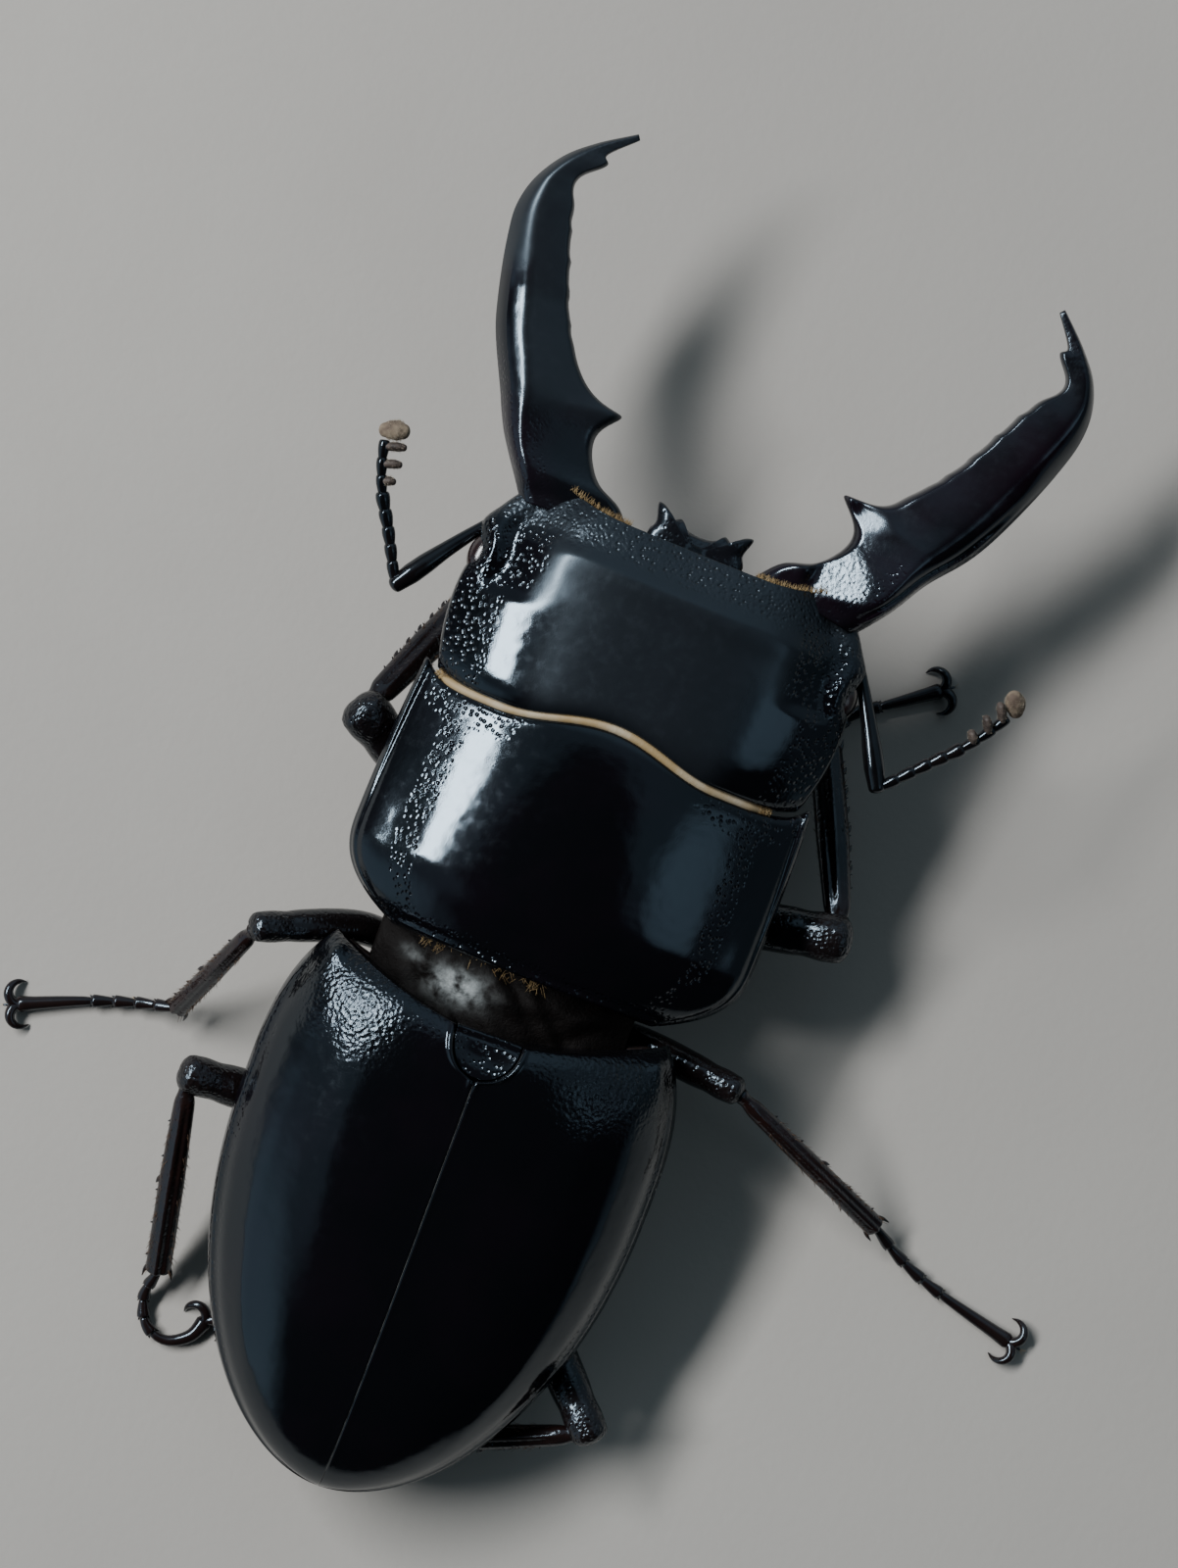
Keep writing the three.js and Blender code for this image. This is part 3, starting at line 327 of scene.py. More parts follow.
class Shape:
    """Points and faces gathered for one mesh, in model millimetres."""

    def __init__(self):
        self.points = []
        self.faces = []
        self.count = 0

    def add(self, points, faces):
        points = np.asarray(points, float).reshape(-1, 3)
        self.points.append(points)
        self.faces += [tuple(int(k) + self.count for k in face) for face in faces]
        self.count += len(points)
        return self

    def plate(self, across, along, upper, lower, bulge=0.0, wall=5):
        """A closed plate: two sheets over one grid, and a wall round the edge that bulges out."""
        u, v = np.meshgrid(across, along)
        top, low = upper(u, v), lower(u, v)
        rows, columns = u.shape
        index = np.arange(rows * columns).reshape(rows, columns)
        loop = np.r_[index[0, :], index[1:, -1], index[-1, -2::-1], index[-2:0:-1, 0]]
        top_loop = top.reshape(-1, 3)[loop]
        low_loop = low.reshape(-1, 3)[loop]
        along_edge = np.roll(top_loop, -1, 0) - np.roll(top_loop, 1, 0)
        out = unit(np.stack([along_edge[:, 1], -along_edge[:, 0], np.full(len(loop), 1e-9)], -1))
        size = rows * columns
        points = [top.reshape(-1, 3), low.reshape(-1, 3)]
        rings = [loop]
        for k in range(1, wall):
            share = k / wall
            points.append(lerp(top_loop, low_loop, share) + out * bulge * math.sin(math.pi * share))
            rings.append(2 * size + (k - 1) * len(loop) + np.arange(len(loop)))
        rings.append(loop + size)
        faces = list(quads(rows, columns))
        faces += list(quads(rows, columns, start=size)[:, ::-1])
        for first, second in zip(rings, rings[1:]):
            faces += list(np.stack([second, np.roll(second, -1), np.roll(first, -1), first], -1))
        return self.add(np.vstack(points), faces)

    def rings(self, rings):
        """A closed body through rings, an array (rings, sides, 3), with a fan on each end."""
        rings = np.asarray(rings, float)
        count, sides, _ = rings.shape
        points = np.vstack([rings.reshape(-1, 3), rings[0].mean(0), rings[-1].mean(0)])
        faces = list(quads(count, sides, wrap=True))
        start, end = count * sides, count * sides + 1
        last = (count - 1) * sides
        for i in range(sides):
            following = (i + 1) % sides
            faces.append((start, following, i))
            faces.append((end, last + i, last + following))
        return self.add(points, faces)

    def limb(self, path, stations, section, sides=20, ends=(0.6, 0.6), up=(0, 0, 1)):
        """Rings along a path. section(t, angle) gives the offsets to the side and up.
        Each end is rounded off, by its share in ends of the width there."""
        stations = np.asarray(stations, float)
        middle, tangent = path.at(stations), path.tangent(stations)
        side, rise = side_and_rise(tangent, up)
        t, a = np.meshgrid(stations, turns(sides), indexing="ij")
        wide, high = section(t, a)
        offset = wide[..., None] * side[:, None] + high[..., None] * rise[:, None]
        body = middle[:, None] + offset
        caps = []
        for k, sign, reach in ((0, -1, ends[0]), (-1, 1, ends[1])):
            width = np.abs(wide[k]).max()
            turn = np.linspace(0.25, 1, 4)[:, None, None] * (math.pi / 2) * 0.97
            cap = middle[k] + offset[k] * np.cos(turn) + sign * tangent[k] * reach * width * np.sin(turn)
            caps.append(cap[::-1] if k == 0 else cap)
        return self.rings(np.concatenate([caps[0], body, caps[1]]))

    def spike(self, path, radii, sides=8, count=9, up=(0, 0, 1)):
        """A tapering spike with one half thickness for each point of the path."""
        line = path if isinstance(path, Path) else Path(path, 12)
        knots = np.linspace(0, 1, len(radii))

        def section(t, a):
            radius = np.interp(t, knots, radii)
            return radius * np.cos(a), radius * np.sin(a)

        return self.limb(line, np.linspace(0, 1, count), section, sides, (0.5, 0.8), up)

    def ball(self, centre, radii, around=32, rows=20):
        turn = np.linspace(0.04, math.pi - 0.04, rows)[:, None]
        a = turns(around)[None]
        ball = np.stack([np.sin(turn) * np.cos(a), np.sin(turn) * np.sin(a), np.cos(turn) + 0 * a], -1)
        return self.rings(np.array(centre) + ball * np.array(radii))


def round_section(wide, high, keel=0.0):
    """An oval section from half width and half height functions of t, with four low keels."""

    def section(t, a):
        swell = 1 + keel * np.cos(4 * a)
        return wide(t) * swell * np.cos(a), high(t) * swell * np.sin(a)

    return section


def put(name, data):
    """Puts a mesh, light or camera in the scene."""
    made = bpy.data.objects.new(name, data)
    bpy.context.scene.collection.objects.link(made)
    return made


def dress(name, mesh, material, replaces=()):
    """Puts a finished mesh in the scene and lets it ride on the part."""
    mesh.shade_smooth()
    mesh.materials.append(material)
    piece = put(name, mesh)
    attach(piece, "root")
    if replaces:
        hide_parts(*replaces)


def plain(**values):
    """The same surface marks all over a piece."""
    return lambda x, y, z: values


def solid(name, shape, material, replaces=(), hind=False, marks=None, move=None):
    """A piece of the visual model. marks gives the surface marks at its points, 0 to 1: pits for
    pin-prick holes, rugose for leathery wrinkles, dull for a satin finish that is also painted a
    lighter sheen, rust for red-brown chitin and pale for light skin."""
    points = np.vstack(shape.points)
    values = marks(*points.T) if callable(marks) else marks or {}
    if move is not None:
        points = move(points)
    mesh = bpy.data.meshes.new(name)
    mesh.from_pydata(to_row(points, hind).tolist(), [], shape.faces)
    made = bmesh.new()
    made.from_mesh(mesh)
    bmesh.ops.recalc_face_normals(made, faces=made.faces)
    made.to_mesh(mesh)
    made.free()
    for mark, value in values.items():
        attribute = mesh.attributes.new(mark, "FLOAT", "POINT")
        attribute.data.foreach_set("value", np.broadcast_to(value, len(points)).astype(np.float32))
    dress(name, mesh, material, replaces)


def hairs(name, roots, directions, lengths, thick, places, material, droop=0.0):
    """Thin curved cones in one mesh. places holds each root's u, v on an unwrap of its skin."""
    count = len(roots)
    directions = unit(directions)
    side = unit(np.cross(directions, rng.normal(size=(count, 3))))
    other = np.cross(directions, side)
    shares = np.array([0.0, 0.4, 0.75, 1.0])
    taper = np.array([1.0, 0.85, 0.55, 0.08])
    sag = np.array([0, 0, -droop])
    points = np.zeros((count, 4, 3, 3))
    uv = np.zeros((count, 4, 3, 2))
    for ring, share in enumerate(shares):
        centre = roots + directions * (lengths * share)[:, None] + sag * (lengths * share**2)[:, None]
        for corner in range(3):
            a = corner * 2 * math.pi / 3
            points[:, ring, corner] = centre + (side * math.cos(a) + other * math.sin(a)) * (thick * taper[ring])
            uv[:, ring, corner] = places + np.array([corner / 2, share]) * HAIR_PATCH
    base = (np.arange(count) * 12)[:, None, None]
    a = np.arange(3)
    following = (a + 1) % 3
    one = np.concatenate([np.stack([r + a, r + following, r + 3 + following, r + 3 + a], -1) for r in (0, 3, 6)])
    faces = (base + one[None]).reshape(-1, 4)
    caps = (base + np.array([[2, 1, 0], [9, 10, 11]])[None]).reshape(-1, 3)
    mesh = bpy.data.meshes.new(name)
    mesh.from_pydata(to_row(points).tolist(), [], faces.tolist() + caps.tolist())
    layer = mesh.uv_layers.new(name="OFBake")
    corners = np.zeros(len(mesh.loops), np.int32)
    mesh.loops.foreach_get("vertex_index", corners)
    layer.data.foreach_set("uv", clamp(uv.reshape(-1, 2)[corners]).astype(np.float32).ravel())
    dress(name, mesh, material)


# ---------------------------------------------------------------- materials


class Nodes:
    """A short way to write shader nodes."""

    def __init__(self, name):
        self.material = bpy.data.materials.new(name)
        self.material.use_nodes = True
        self.tree = self.material.node_tree
        self.shader = self.tree.nodes["Principled BSDF"]
        place = self.add("ShaderNodeTexCoord")
        scale = self.add("ShaderNodeVectorMath", operation="SCALE")
        scale.inputs["Scale"].default_value = 1 / MM
        self.link(place.outputs["Object"], scale.inputs[0])
        self.place = scale.outputs[0]  # object coordinates in millimetres

    def add(self, kind, **settings):
        node = self.tree.nodes.new(kind)
        for key, value in settings.items():
            setattr(node, key, value)
        return node

    def link(self, a, b):
        self.tree.links.new(a, b)

    def math(self, operation, a, b):
        node = self.add("ShaderNodeMath", operation=operation)
        for socket, value in zip(node.inputs, (a, b)):
            if isinstance(value, (int, float)):
                socket.default_value = value
            else:
                self.link(value, socket)
        return node.outputs[0]

    def ramp(self, value, from_low, from_high, to_low=0.0, to_high=1.0):
        node = self.add("ShaderNodeMapRange", interpolation_type="SMOOTHSTEP")
        for socket, number in zip(node.inputs[1:5], (from_low, from_high, to_low, to_high)):
            socket.default_value = number
        self.link(value, node.inputs[0])
        return node.outputs[0]

    def noise(self, scale, detail=3.0, rough=0.55):
        node = self.add("ShaderNodeTexNoise")
        node.inputs["Scale"].default_value = scale
        node.inputs["Detail"].default_value = detail
        node.inputs["Roughness"].default_value = rough
        self.link(self.place, node.inputs["Vector"])
        return node.outputs[0]

    def cells(self, scale, feature="F1"):
        node = self.add("ShaderNodeTexVoronoi", feature=feature)
        node.inputs["Scale"].default_value = scale
        self.link(self.place, node.inputs["Vector"])
        return node.outputs["Distance"]

    def mark(self, name):
        return self.add("ShaderNodeAttribute", attribute_name=name).outputs["Fac"]

    def mix(self, share, a, b):
        node = self.add("ShaderNodeMix", data_type="RGBA")
        self.link(share, node.inputs[0])
        for socket, colour in ((node.inputs[6], a), (node.inputs[7], b)):
            if isinstance(colour, tuple):
                socket.default_value = (*colour, 1)
            else:
                self.link(colour, socket)
        return node.outputs[2]

    def bump(self, height, millimetres, before=None):
        node = self.add("ShaderNodeBump")
        node.inputs["Distance"].default_value = millimetres * MM
        node.inputs["Strength"].default_value = 1.0
        self.link(height, node.inputs["Height"])
        if before is not None:
            self.link(before, node.inputs["Normal"])
        return node.outputs[0]

    def finish(self, colour, roughness, normal, **constants):
        self.link(colour, self.shader.inputs["Base Color"])
        self.link(roughness, self.shader.inputs["Roughness"])
        self.link(normal, self.shader.inputs["Normal"])
        for key, value in constants.items():
            self.shader.inputs[key.replace("_", " ")].default_value = value
        return self.material


def chitin(name, black, tint, satin_and_sheen, rust, gloss, pit_scale=3.1, pit_depth=0.045):
    """Black horn-like shell. gloss is its roughness where it is smoothest."""
    n = Nodes(name)
    colour = n.mix(n.ramp(n.noise(0.16, 4.0), 0.35, 0.7), black, tint)
    # Where the dull mark is, the colour is mixed to the lighter satin colour: partly the dull finish, partly painted
    # sheen.
    colour = n.mix(n.mark("dull"), colour, satin_and_sheen)
    rusty = n.math("MULTIPLY", n.mark("rust"), n.ramp(n.noise(0.9), 0.25, 0.75, 0.35, 1.0))
    colour = n.mix(rusty, colour, rust)
    pits = n.ramp(n.cells(pit_scale), 0.0, 0.5, 1.0, 0.0)
    where = n.ramp(n.math("ADD", n.mark("pits"), n.math("MULTIPLY", n.noise(0.9), 0.4)), 0.35, 0.75)
    pits = n.math("MULTIPLY", pits, where)
    wear = n.ramp(n.noise(1.6, 6.0), 0.45, 0.75, 0.0, 0.05)
    rough = n.math("ADD", n.math("ADD", wear, gloss), n.math("MULTIPLY", n.mark("dull"), 0.3))
    rough = n.math("ADD", rough, n.math("MULTIPLY", n.mark("rugose"), 0.06))
    waves = n.bump(n.noise(0.45, 2.0), 0.035)
    grain = n.bump(n.cells(13.0), 0.0012, waves)
    leather = n.math("ADD", n.cells(4.2, "SMOOTH_F1"), n.math("MULTIPLY", n.noise(6.0, 3.0), 0.5))
    leather = n.bump(n.math("MULTIPLY", leather, n.mark("rugose")), 0.075, grain)
    normal = n.bump(n.math("SUBTRACT", 1.0, pits), pit_depth, leather)
    return n.finish(colour, rough, normal, IOR=1.56, Specular_Tint=(0.68, 0.85, 1.0, 1.0))


def soft(name, light, dark, scale, rough, grain, depth, stretch=None, mark=None, shine=0.5):
    """Skin, felt and hair: two colours in fine noise, and a fine grain. mark limits the light one."""
    n = Nodes(name)
    if stretch:
        mapping = n.add("ShaderNodeMapping")
        mapping.inputs["Scale"].default_value = stretch
        n.link(n.place, mapping.inputs["Vector"])
        n.place = mapping.outputs[0]
    share = n.ramp(n.noise(scale, 4.0), 0.3, 0.7)
    if mark:
        share = n.math("MULTIPLY", share, n.mark(mark))
    roughness = n.ramp(n.noise(scale * 2), 0.2, 0.8, rough - 0.08, rough + 0.08)
    normal = n.bump(n.noise(grain, 5.0, 0.7), depth)
    return n.finish(n.mix(share, dark, light), roughness, normal, IOR=1.45, Specular_IOR_Level=shine)


# The lighter blue-grey that dull shell is mixed to: partly its satin finish, partly painted sheen.
SATIN_AND_SHEEN = (0.0085, 0.0100, 0.0125)
SHELL = chitin("shell", (0.0018, 0.0018, 0.0024), (0.0030, 0.0020, 0.0032), SATIN_AND_SHEEN, (0.03, 0.008, 0.004), 0.07)
HORN = chitin("horn", (0.0022, 0.0018, 0.0026), (0.0065, 0.0026, 0.0052), SATIN_AND_SHEEN, (0.05, 0.012, 0.006), 0.10, 3.6, 0.03)
LIMB = chitin(
    "limb", (0.0026, 0.0024, 0.0028), (0.0060, 0.0042, 0.0040), (0.012, 0.011, 0.012), (0.05, 0.013, 0.006),
    0.13, 3.4, 0.04,
)
BELLY_SHELL = chitin(
    "belly", (0.0050, 0.0040, 0.0038), (0.0110, 0.0075, 0.0065), (0.014, 0.012, 0.011), (0.05, 0.016, 0.008),
    0.2, 3.0, 0.04,
)
HAIR = soft("hair", (0.44, 0.31, 0.15), (0.24, 0.15, 0.06), 1.2, 0.5, 9.0, 0.01)
BRISTLE = soft("bristle", (0.10, 0.050, 0.022), (0.030, 0.014, 0.008), 1.0, 0.4, 9.0, 0.005)
SEAM = soft("seam", (0.44, 0.37, 0.27), (0.30, 0.21, 0.10), 0.5, 0.6, 7.0, 0.02, (1.0, 0.3, 1.0), mark="pale")
SKIN = soft("skin", (0.4, 0.43, 0.43), (0.004, 0.003, 0.0028), 1.0, 0.55, 2.6, 0.14, mark="pale", shine=0.1)
LINE = soft("line", (0.10, 0.10, 0.095), (0.012, 0.012, 0.012), 1.1, 0.6, 9.0, 0.01)
FELT = soft("felt", (0.075, 0.055, 0.045), (0.022, 0.016, 0.014), 1.6, 0.6, 12.0, 0.02)
CAP = soft("cap", (0.25, 0.195, 0.135), (0.085, 0.058, 0.042), 1.1, 0.85, 12.0, 0.03)
FELT_HAIR = soft("felt_hair", (0.42, 0.36, 0.28), (0.24, 0.19, 0.14), 2.0, 0.75, 9.0, 0.01)


def eye_material():
    n = Nodes("eye")
    facets = n.cells(16.0)
    colour = n.mix(n.ramp(facets, 0.1, 0.6), (0.028, 0.012, 0.010), (0.010, 0.006, 0.007))
    rough = n.ramp(n.noise(3.0), 0.3, 0.7, 0.1, 0.2)
    normal = n.bump(n.math("SUBTRACT", 1.0, facets), 0.006)
    return n.finish(colour, rough, normal, IOR=1.55, Coat_Weight=0.5, Coat_Roughness=0.05)


EYE_LENS = eye_material()

# ---------------------------------------------------------------- hind body


def elytra_margin_z(y):
    return ELYTRA["margin_z"] + ELYTRA["margin_slope"] * y


def elytra_shares(y):
    back = clamp((ELYTRA["widest_y"] - y) / (ELYTRA["widest_y"] - ELYTRA["apex_y"]))
    forward = clamp((y - ELYTRA["widest_y"]) / (ELYTRA["shoulder_y"] - ELYTRA["widest_y"]))
    return back, forward


def elytra_half_width(y):
    back, forward = elytra_shares(y)
    rear = ELYTRA["half_width"] * (1 - back**2) ** 0.52
    return rear - (ELYTRA["half_width"] - ELYTRA["shoulder_half_width"]) * forward**3.4


def elytra_height(y):
    back, forward = elytra_shares(y)
    return ELYTRA["height"] * np.sqrt(1 - back**2.6) * (1 - 0.3 * forward**5)


def elytra_base_y(x):
    share = clamp(np.abs(x) / ELYTRA["shoulder_half_width"]) ** 1.3
    return lerp(ELYTRA["base_y"], ELYTRA["shoulder_y"], share)


def scutellum_half_width(y, grow):
    back = (SCUTELLUM["base_y"] - y) / (SCUTELLUM["base_y"] - SCUTELLUM["apex_y"] + grow)
    return (SCUTELLUM["half_width"] + grow) * np.sqrt(np.clip(1 - clamp(back) ** 2.4, 0, 1))


def elytron_top(x, y):
    """Height of the wing case: a dome with beads, grooves, a blunt side line and the shoulder."""
    share = clamp(x / np.maximum(elytra_half_width(y), 1e-6))
    z = elytra_margin_z(y) + elytra_height(y) * (1 - share**2.6) ** 0.7
    from_suture = x - np.maximum(SUTURE, scutellum_half_width(y, 0.1))
    z += 0.014 * hill(from_suture, 0.16, 0.14) - 0.008 * hill(from_suture, 0.42, 0.16)
    z -= 0.06 * np.exp(-from_suture / 0.03)
    z += 0.14 * hill(from_suture, 0.2, 0.17) * smooth(-7.6, -6.6, y)
    from_margin = (1 - share) * elytra_half_width(y)
    z += 0.16 * hill(from_margin, 0.2, 0.15) - 0.14 * hill(from_margin, 0.62, 0.28)
    z += 0.09 * hill(share, 0.78, 0.05) * smooth(-31, -24, y)
    from_base = elytra_base_y(x) - y
    z -= 0.8 * np.exp(-np.maximum(from_base, 0) / 0.45) + 0.3 * np.exp(-np.maximum(from_base, 0) / 1.3)
    z += 0.8 * hill(x, 10.35, 0.8) * hill(from_base, 0.6, 1.0)  # the front corner
    z += 0.7 * hill(x, 10.9, 0.95) * hill(from_base, 1.5, 2.4)
    z += 0.2 * hill(x, 9.6, 2.0) * hill(from_base, 2.8, 2.4)
    return z


def elytron(side):
    shape = Shape()
    along = np.r_[-spread(70, 1.4)[:0:-1] * 0.985, spread(64, 1.6)]

    def place(u, v, top):
        rear = ELYTRA["widest_y"] - (ELYTRA["widest_y"] - ELYTRA["apex_y"]) * np.sin(-v * math.pi / 2)
        front = lerp(ELYTRA["widest_y"], elytra_base_y(u * ELYTRA["shoulder_half_width"]), v)
        y = np.where(v < 0, rear, front)
        x = lerp(np.maximum(SUTURE, scutellum_half_width(y, 0.1)), elytra_half_width(y), u)
        z = elytron_top(x, y) if top else elytra_margin_z(y) - ELYTRA["rim"]
        return np.stack([side * x, y, z + 0 * x], -1)

    shape.plate(spread(58, 1.9), along, lambda u, v: place(u, v, True), lambda u, v: place(u, v, False), 0.12)
    return shape


def elytron_marks(x, y, z):
    from_base = elytra_base_y(x) - y
    shoulder = hill(np.abs(x), 8.4, 3.6) * smooth(7.0, 2.0, from_base)
    base = smooth(3.5, 0.5, from_base) * smooth(2.0, 3.2, np.abs(x))
    flank = smooth(0.84, 0.97, np.abs(x) / np.maximum(elytra_half_width(y), 0.1))
    return {
        "pits": flank * 0.3,
        "rugose": np.maximum(np.maximum(shoulder, 0.6 * base), 0.1 * flank),
        "dull": 0.06 + 0.06 * shoulder,
    }


def suture_line():
    """The fine pale line where the wing cases meet."""
    y = np.linspace(-6.9, -33.2, 120)
    z = elytron_top(np.full(len(y), SUTURE), y) - 0.02
    section = round_section(lambda t: 0.022 + 0.006 * np.sin(t * 90) * np.sin(t * 37), lambda t: 0.03 + 0 * t)
    return Shape().limb(Path(np.column_stack([0 * y, y, z]), 3), np.linspace(0, 1, 300), section, 8)


def scutellum():
    def sheet(drop):
        def place(u, y):
            x = u * np.maximum(0.12, scutellum_half_width(y, 0.0))
            z = elytra_margin_z(y) + elytra_height(y) - 0.35 - 0.25 * (1 - u**2) * smooth(-6.3, -5.0, y)
            z = z - 0.5 * smooth(-4.4, -3.9, y)
            return np.stack([x, y, z - drop], -1)

        return place

    along = lerp(SCUTELLUM["apex_y"] + 0.02, -3.9, spread(30, 1.3))
    return Shape().plate(spread(30, 1.5) * 2 - 1, along, sheet(0), sheet(SCUTELLUM["thickness"]), 0.05)


def belly_half_width(y):
    return BELLY["share"] * elytra_half_width(np.minimum(y, ELYTRA["shoulder_y"]))


def belly_top_z(y):
    return elytra_margin_z(y) - ELYTRA["rim"] - 0.12


def belly_z(u, y):
    share = clamp((BELLY["coxa_y"] - y) / (BELLY["coxa_y"] - BELLY["hind_y"]))
    keel = lerp(BELLY["keel_z"], BELLY["tail_keel_z"], share**2)
    return lerp(keel, belly_top_z(y) - 1, np.abs(u) ** 2.5)


def boat(y_of, half_width, top, low, columns=50, rows=40, bulge=0.1):
    """An under-body plate, from functions of u (-1 to 1, side to side) and y."""

    def sheet(z):
        return lambda u, v: np.stack([u * half_width(y_of(u, v)), y_of(u, v), z(u, y_of(u, v)) + 0 * u], -1)

    return Shape().plate(spread(columns, 1.5) * 2 - 1, spread(rows, 1.3), sheet(top), sheet(low), bulge)


def metasternum():
    def low(u, y):
        centre = -0.25 * hill(u, 0, 0.05) * smooth(-14.5, -12, y) * smooth(-3, -5, y)
        cavity = 0.5 * hill(np.abs(u), 0.45, 0.3) * smooth(-13.6, -15.6, y)
        return belly_z(u, y) - centre + cavity

    front = lambda u, v: lerp(BELLY["coxa_y"], elytra_base_y(u * belly_half_width(0.0)) - 0.12, v)
    return boat(front, belly_half_width, lambda u, y: belly_top_z(y), low)


def abdomen():
    """Five ventral plates, each with its hind edge a little proud of the next."""

    def low(u, y):
        share = 5 * (BELLY["coxa_y"] - y) / (BELLY["coxa_y"] - BELLY["hind_y"])
        step = share - np.floor(np.minimum(share, 4.999))
        proud = 0.3 * smooth(0.0, 0.85, step) * smooth(1.0, 0.93, step)
        return belly_z(u, y) - proud * (1 - np.abs(u) ** 4)

    line = lambda u, v: lerp(BELLY["hind_y"], BELLY["coxa_y"] - 0.12, v) + 0 * u
    return boat(line, belly_half_width, lambda u, y: belly_top_z(y), low, 50, 120)


def mesothorax():
    def top(u, y):
        folds = 0.1 * np.sin(y * 3 + 4 * np.sin(u * 5)) + 0.14 * np.sin(u * 15 + y * 1.5 + 2 * np.sin(u * 7 + y))
        collar = 0.5 * hill(y, -1.9 + 0.9 * np.abs(u), 0.7)
        return lerp(MESOTHORAX["middle_z"], MESOTHORAX["side_z"], np.abs(u) ** 1.7) + (folds + collar) * (1 - u**4)

    half_width = MESOTHORAX["half_width"]
    line = lambda u, v: lerp(elytra_base_y(u * half_width) - 0.9, MESOTHORAX["front_y"], v)
    return boat(line, lambda y: half_width + 0 * y, top, lambda u, y: belly_z(u * 0.9, y), 90, 40)


def mesothorax_marks(x, y, z):
    """Pale soft skin shows mostly left of the middle, between dark plates."""
    large, small = hill(x, -2.8, 1.5) * hill(y, -2.0, 0.9), hill(x, -5.9, 0.7) * hill(y, -1.1, 0.4)
    return {"pale": np.maximum(large, 0.3 * small)}


# ---------------------------------------------------------------- pronotum


def pronotum_margin_z(y):
    return PRONOTUM["margin_z"] + PRONOTUM["margin_slope"] * y


def pronotum_half_width(y):
    corner = clamp((PRONOTUM["corner"] - y) / PRONOTUM["corner"])
    forward = clamp((y - 6) / (PRONOTUM["front_y"] + PRONOTUM["lobe"] - 6))
    rear = (PRONOTUM["half_width"] - PRONOTUM["rear_half_width"]) * corner**2.8
    return PRONOTUM["half_width"] - rear - (PRONOTUM["half_width"] - PRONOTUM["front_half_width"]) * forward**2


def pronotum_front_y(x):
    from_lobe = np.clip((x - PRONOTUM["lobe_x"]) / PRONOTUM["lobe_half_width"], -1, 1)
    corner = clamp(np.abs(x) / PRONOTUM["front_half_width"]) ** 12
    return PRONOTUM["front_y"] - 0.2 + PRONOTUM["lobe"] * (np.cos((math.pi / 2) * from_lobe) ** 2 + corner)


def pronotum_top_z(u, y):
    side = np.abs(u)
    rear = clamp((5 - y) / 5)
    front = clamp((y - 4.5) / 11)
    height = PRONOTUM["height"] * (1 - 0.3 * rear**2 - 0.25 * front**2)
    edge = 0.155 * (1 - clamp((y - 4.5) / 8.5))  # share of the drop taken by the steep rim
    back = (1 - edge) * (1.04 * side**2 / (side + 0.04)) ** 1.8
    z = pronotum_margin_z(y) + height * (1 - back - edge * side**40)
    z -= 0.1 * hill(side * pronotum_half_width(y), 10.3, 1.2) * hill(y, 5.5, 2.4)
    from_margin = (1 - side) * pronotum_half_width(y)
    z += 0.12 * hill(from_margin, 0.13, 0.12) - 0.08 * hill(from_margin, 0.42, 0.16)
    z += 0.1 * hill(y, 0.16, 0.14) - 0.07 * hill(y, 0.5, 0.2)
    from_front = pronotum_front_y(u * PRONOTUM["front_half_width"]) - y
    return z - 0.22 * np.exp(-np.maximum(from_front, 0) / 0.2)


def pronotum():
    line = lambda u, v: v * pronotum_front_y(u * PRONOTUM["front_half_width"])
    low = lambda u, y: pronotum_margin_z(y) - PRONOTUM["rim"]
    return boat(line, pronotum_half_width, pronotum_top_z, low, 130, 90, 0.14)


def pronotum_marks(x, y, z):
    side = np.abs(x) / np.maximum(pronotum_half_width(y), 0.1)
    flank = smooth(0.66, 0.74, side) * lerp(1, 0.12, smooth(0.75, 0.82, side))
    front = 0.75 * smooth(2.6, 0.5, pronotum_front_y(x) - y) * smooth(0.35, 0.6, side)
    pits = np.maximum(np.maximum(flank, smooth(1.8, 0.5, y) * 0.5), front)
    return {"pits": pits, "rugose": 0.12 * smooth(0.85, 0.98, side), "dull": 0.04 + 0.1 * smooth(0.8, 1.0, side)}


def throat_half_width(y):
    return 0.84 * pronotum_half_width(y)


def throat_top_z(y):
    return pronotum_margin_z(y) - PRONOTUM["rim"] - 0.12


def prosternum():
    def low(u, y):
        process = -0.5 * hill(u, 0, 0.09) * smooth(0.2, 2.5, y) * smooth(12.5, 9, y)
        return lerp(BELLY["keel_z"] + 0.03 * y, throat_top_z(y) - 1, np.abs(u) ** 2.5) + process

    line = lambda u, v: lerp(0.1, BELLY["throat_y"], v) + 0 * u
    return boat(line, throat_half_width, lambda u, y: throat_top_z(y), low)


# ---------------------------------------------------------------- head


def head_half_width(y):
    rear = 0.9 * ((HEAD["widest_y"] - np.minimum(y, HEAD["widest_y"])) / 5) ** 2
    forward = clamp((y - HEAD["widest_y"]) / (HEAD["front_corner_y"] - HEAD["widest_y"]))
    canthus = 0.28 * hill(y, 24.4, 0.75) - 0.25 * hill(y, 22.4, 1.1)
    return HEAD["half_width"] - rear - (HEAD["half_width"] - HEAD["front_corner_x"]) * forward**3.4 + canthus


def head_front_y(u):
    return HEAD["front_y"] + 0.85 * hill(np.abs(u), 0.94, 0.27)


def head_rear_y(u):
    return pronotum_front_y(u * HEAD["rear_half_width"]) + HEAD["rear_gap"]


